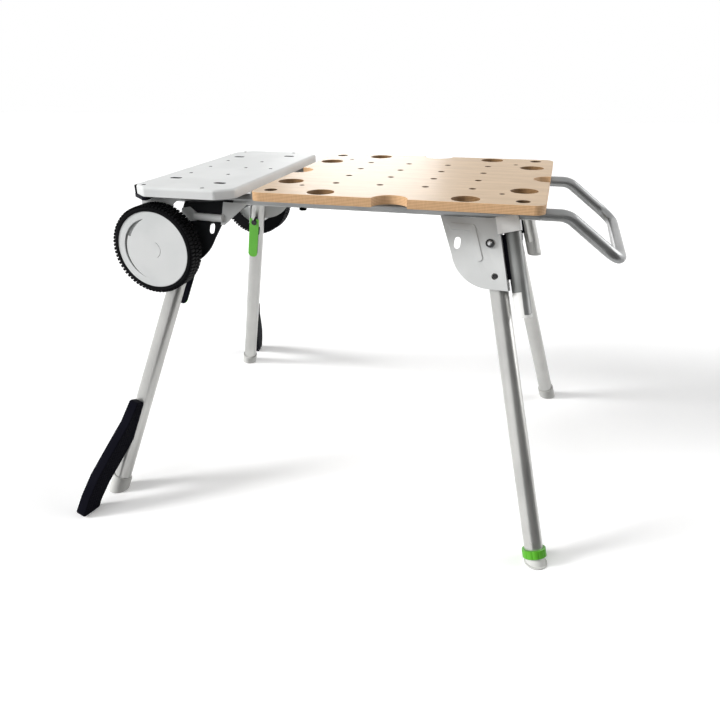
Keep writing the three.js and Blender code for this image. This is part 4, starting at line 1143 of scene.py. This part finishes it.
def panel(name, place, aim, size, power):
    light = bpy.data.lights.new(name, "AREA")
    light.shape, light.size, light.energy = "DISK", size, power
    lit = shown(name, light)
    lit.location = place
    lit.visible_camera = False
    turned_along(lit, Vector(aim) - Vector(place))


NEAREST_FOOT = (0.46, -0.39)
CARD_ROWS = ((-12, 112, 0.12, 0.002), (-12, 112, 1.2, 0.002), (8, 76, 1.2, 1.5))
CARD_STEPS = 8


def dark_card():
    """A black card round the nearest foot, in rows of two angles, a radius and a height each."""
    points = []
    for start, end, reach, height in CARD_ROWS:
        for step in range(CARD_STEPS + 1):
            turn = math.radians(start + (end - start) * step / CARD_STEPS)
            x, y = NEAREST_FOOT[0] + reach * math.sin(turn), NEAREST_FOOT[1] - reach * math.cos(turn)
            points.append((x, y, height))
    row = CARD_STEPS + 1
    faces = [(i, i + 1, i + row + 1, i + row) for i in range(2 * row - 1) if i != CARD_STEPS]
    mesh = bpy.data.meshes.new("card")
    mesh.from_pydata(points, [], faces)
    black = bpy.data.materials.new("card")
    black.use_nodes = True
    shader = black.node_tree.nodes["Principled BSDF"]
    shader.inputs["Base Color"].default_value = (0.01, 0.01, 0.01, 1)
    shader.inputs["Roughness"].default_value = 0.9
    shader.inputs["Specular IOR Level"].default_value = 0.0
    mesh.materials.append(black)
    card = shown("card", mesh)
    card.visible_camera = card.visible_diffuse = card.visible_shadow = False
    card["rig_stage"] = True


distant("key", (0.844, 0.36, -0.444), power=2.9, spread=16, mirrored=False)
distant("front", (0.45, 0.75, -0.48), power=1.5, spread=55, mirrored=False)
distant("rim", (-0.85, -0.35, -0.40), power=1.7, spread=45)
panel("glare", place=(-1.0, 3.5, 1.25), aim=(0.10, 0.12, 0.71), size=1.2, power=15)
dark_card()
print("four lamps and a dark card")

# %% [markdown]
# ## The camera
# The camera was found from the photograph: the board's holes form a square grid, so their places in
# the picture give the distance, the tilt and the lens. It looks down by about 25 degrees.

# %% The camera at the photograph's place
YAW, PITCH, ROLL = -16.14, 24.83, 0.55
EYE = (304.19, -1523.46, 256.85)
FOCAL_PIXELS, PICTURE_PIXELS, SENSOR = 671.92, 720, 36


def photograph_camera():
    yaw, pitch, roll = (math.radians(angle) for angle in (YAW, PITCH, ROLL))
    flat = math.cos(pitch)
    ahead = Vector((math.sin(yaw) * flat, math.cos(yaw) * flat, -math.sin(pitch)))
    right = Vector((math.cos(yaw), -math.sin(yaw), 0))
    down = ahead.cross(right)
    level = right * math.cos(roll) + down * math.sin(roll)
    drop = down * math.cos(roll) - right * math.sin(roll)
    data = bpy.data.cameras.new("camera")
    data.sensor_width, data.lens = SENSOR, FOCAL_PIXELS / PICTURE_PIXELS * SENSOR
    camera = shown("camera", data)
    turned = Matrix((level, -drop, -ahead)).transposed().to_4x4()
    camera.matrix_world = Matrix.Translation(at(*EYE)) @ turned
    bpy.context.scene.camera = camera
    return camera


camera = photograph_camera()
scene = bpy.context.scene
scene.view_settings.view_transform = "Standard"
print("camera at", tuple(round(v, 3) for v in camera.location))

# %% [markdown]
# Dressing should not make the stand larger, so its box is measured again and kept beside the first.

# %% The size, before and after
last_box = [list(corner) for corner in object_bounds()]
grown = [[round((b - a) / MM, 2) for a, b in zip(c, d)] for c, d in zip(first_box, last_box)]
print("grown by", grown, "mm")
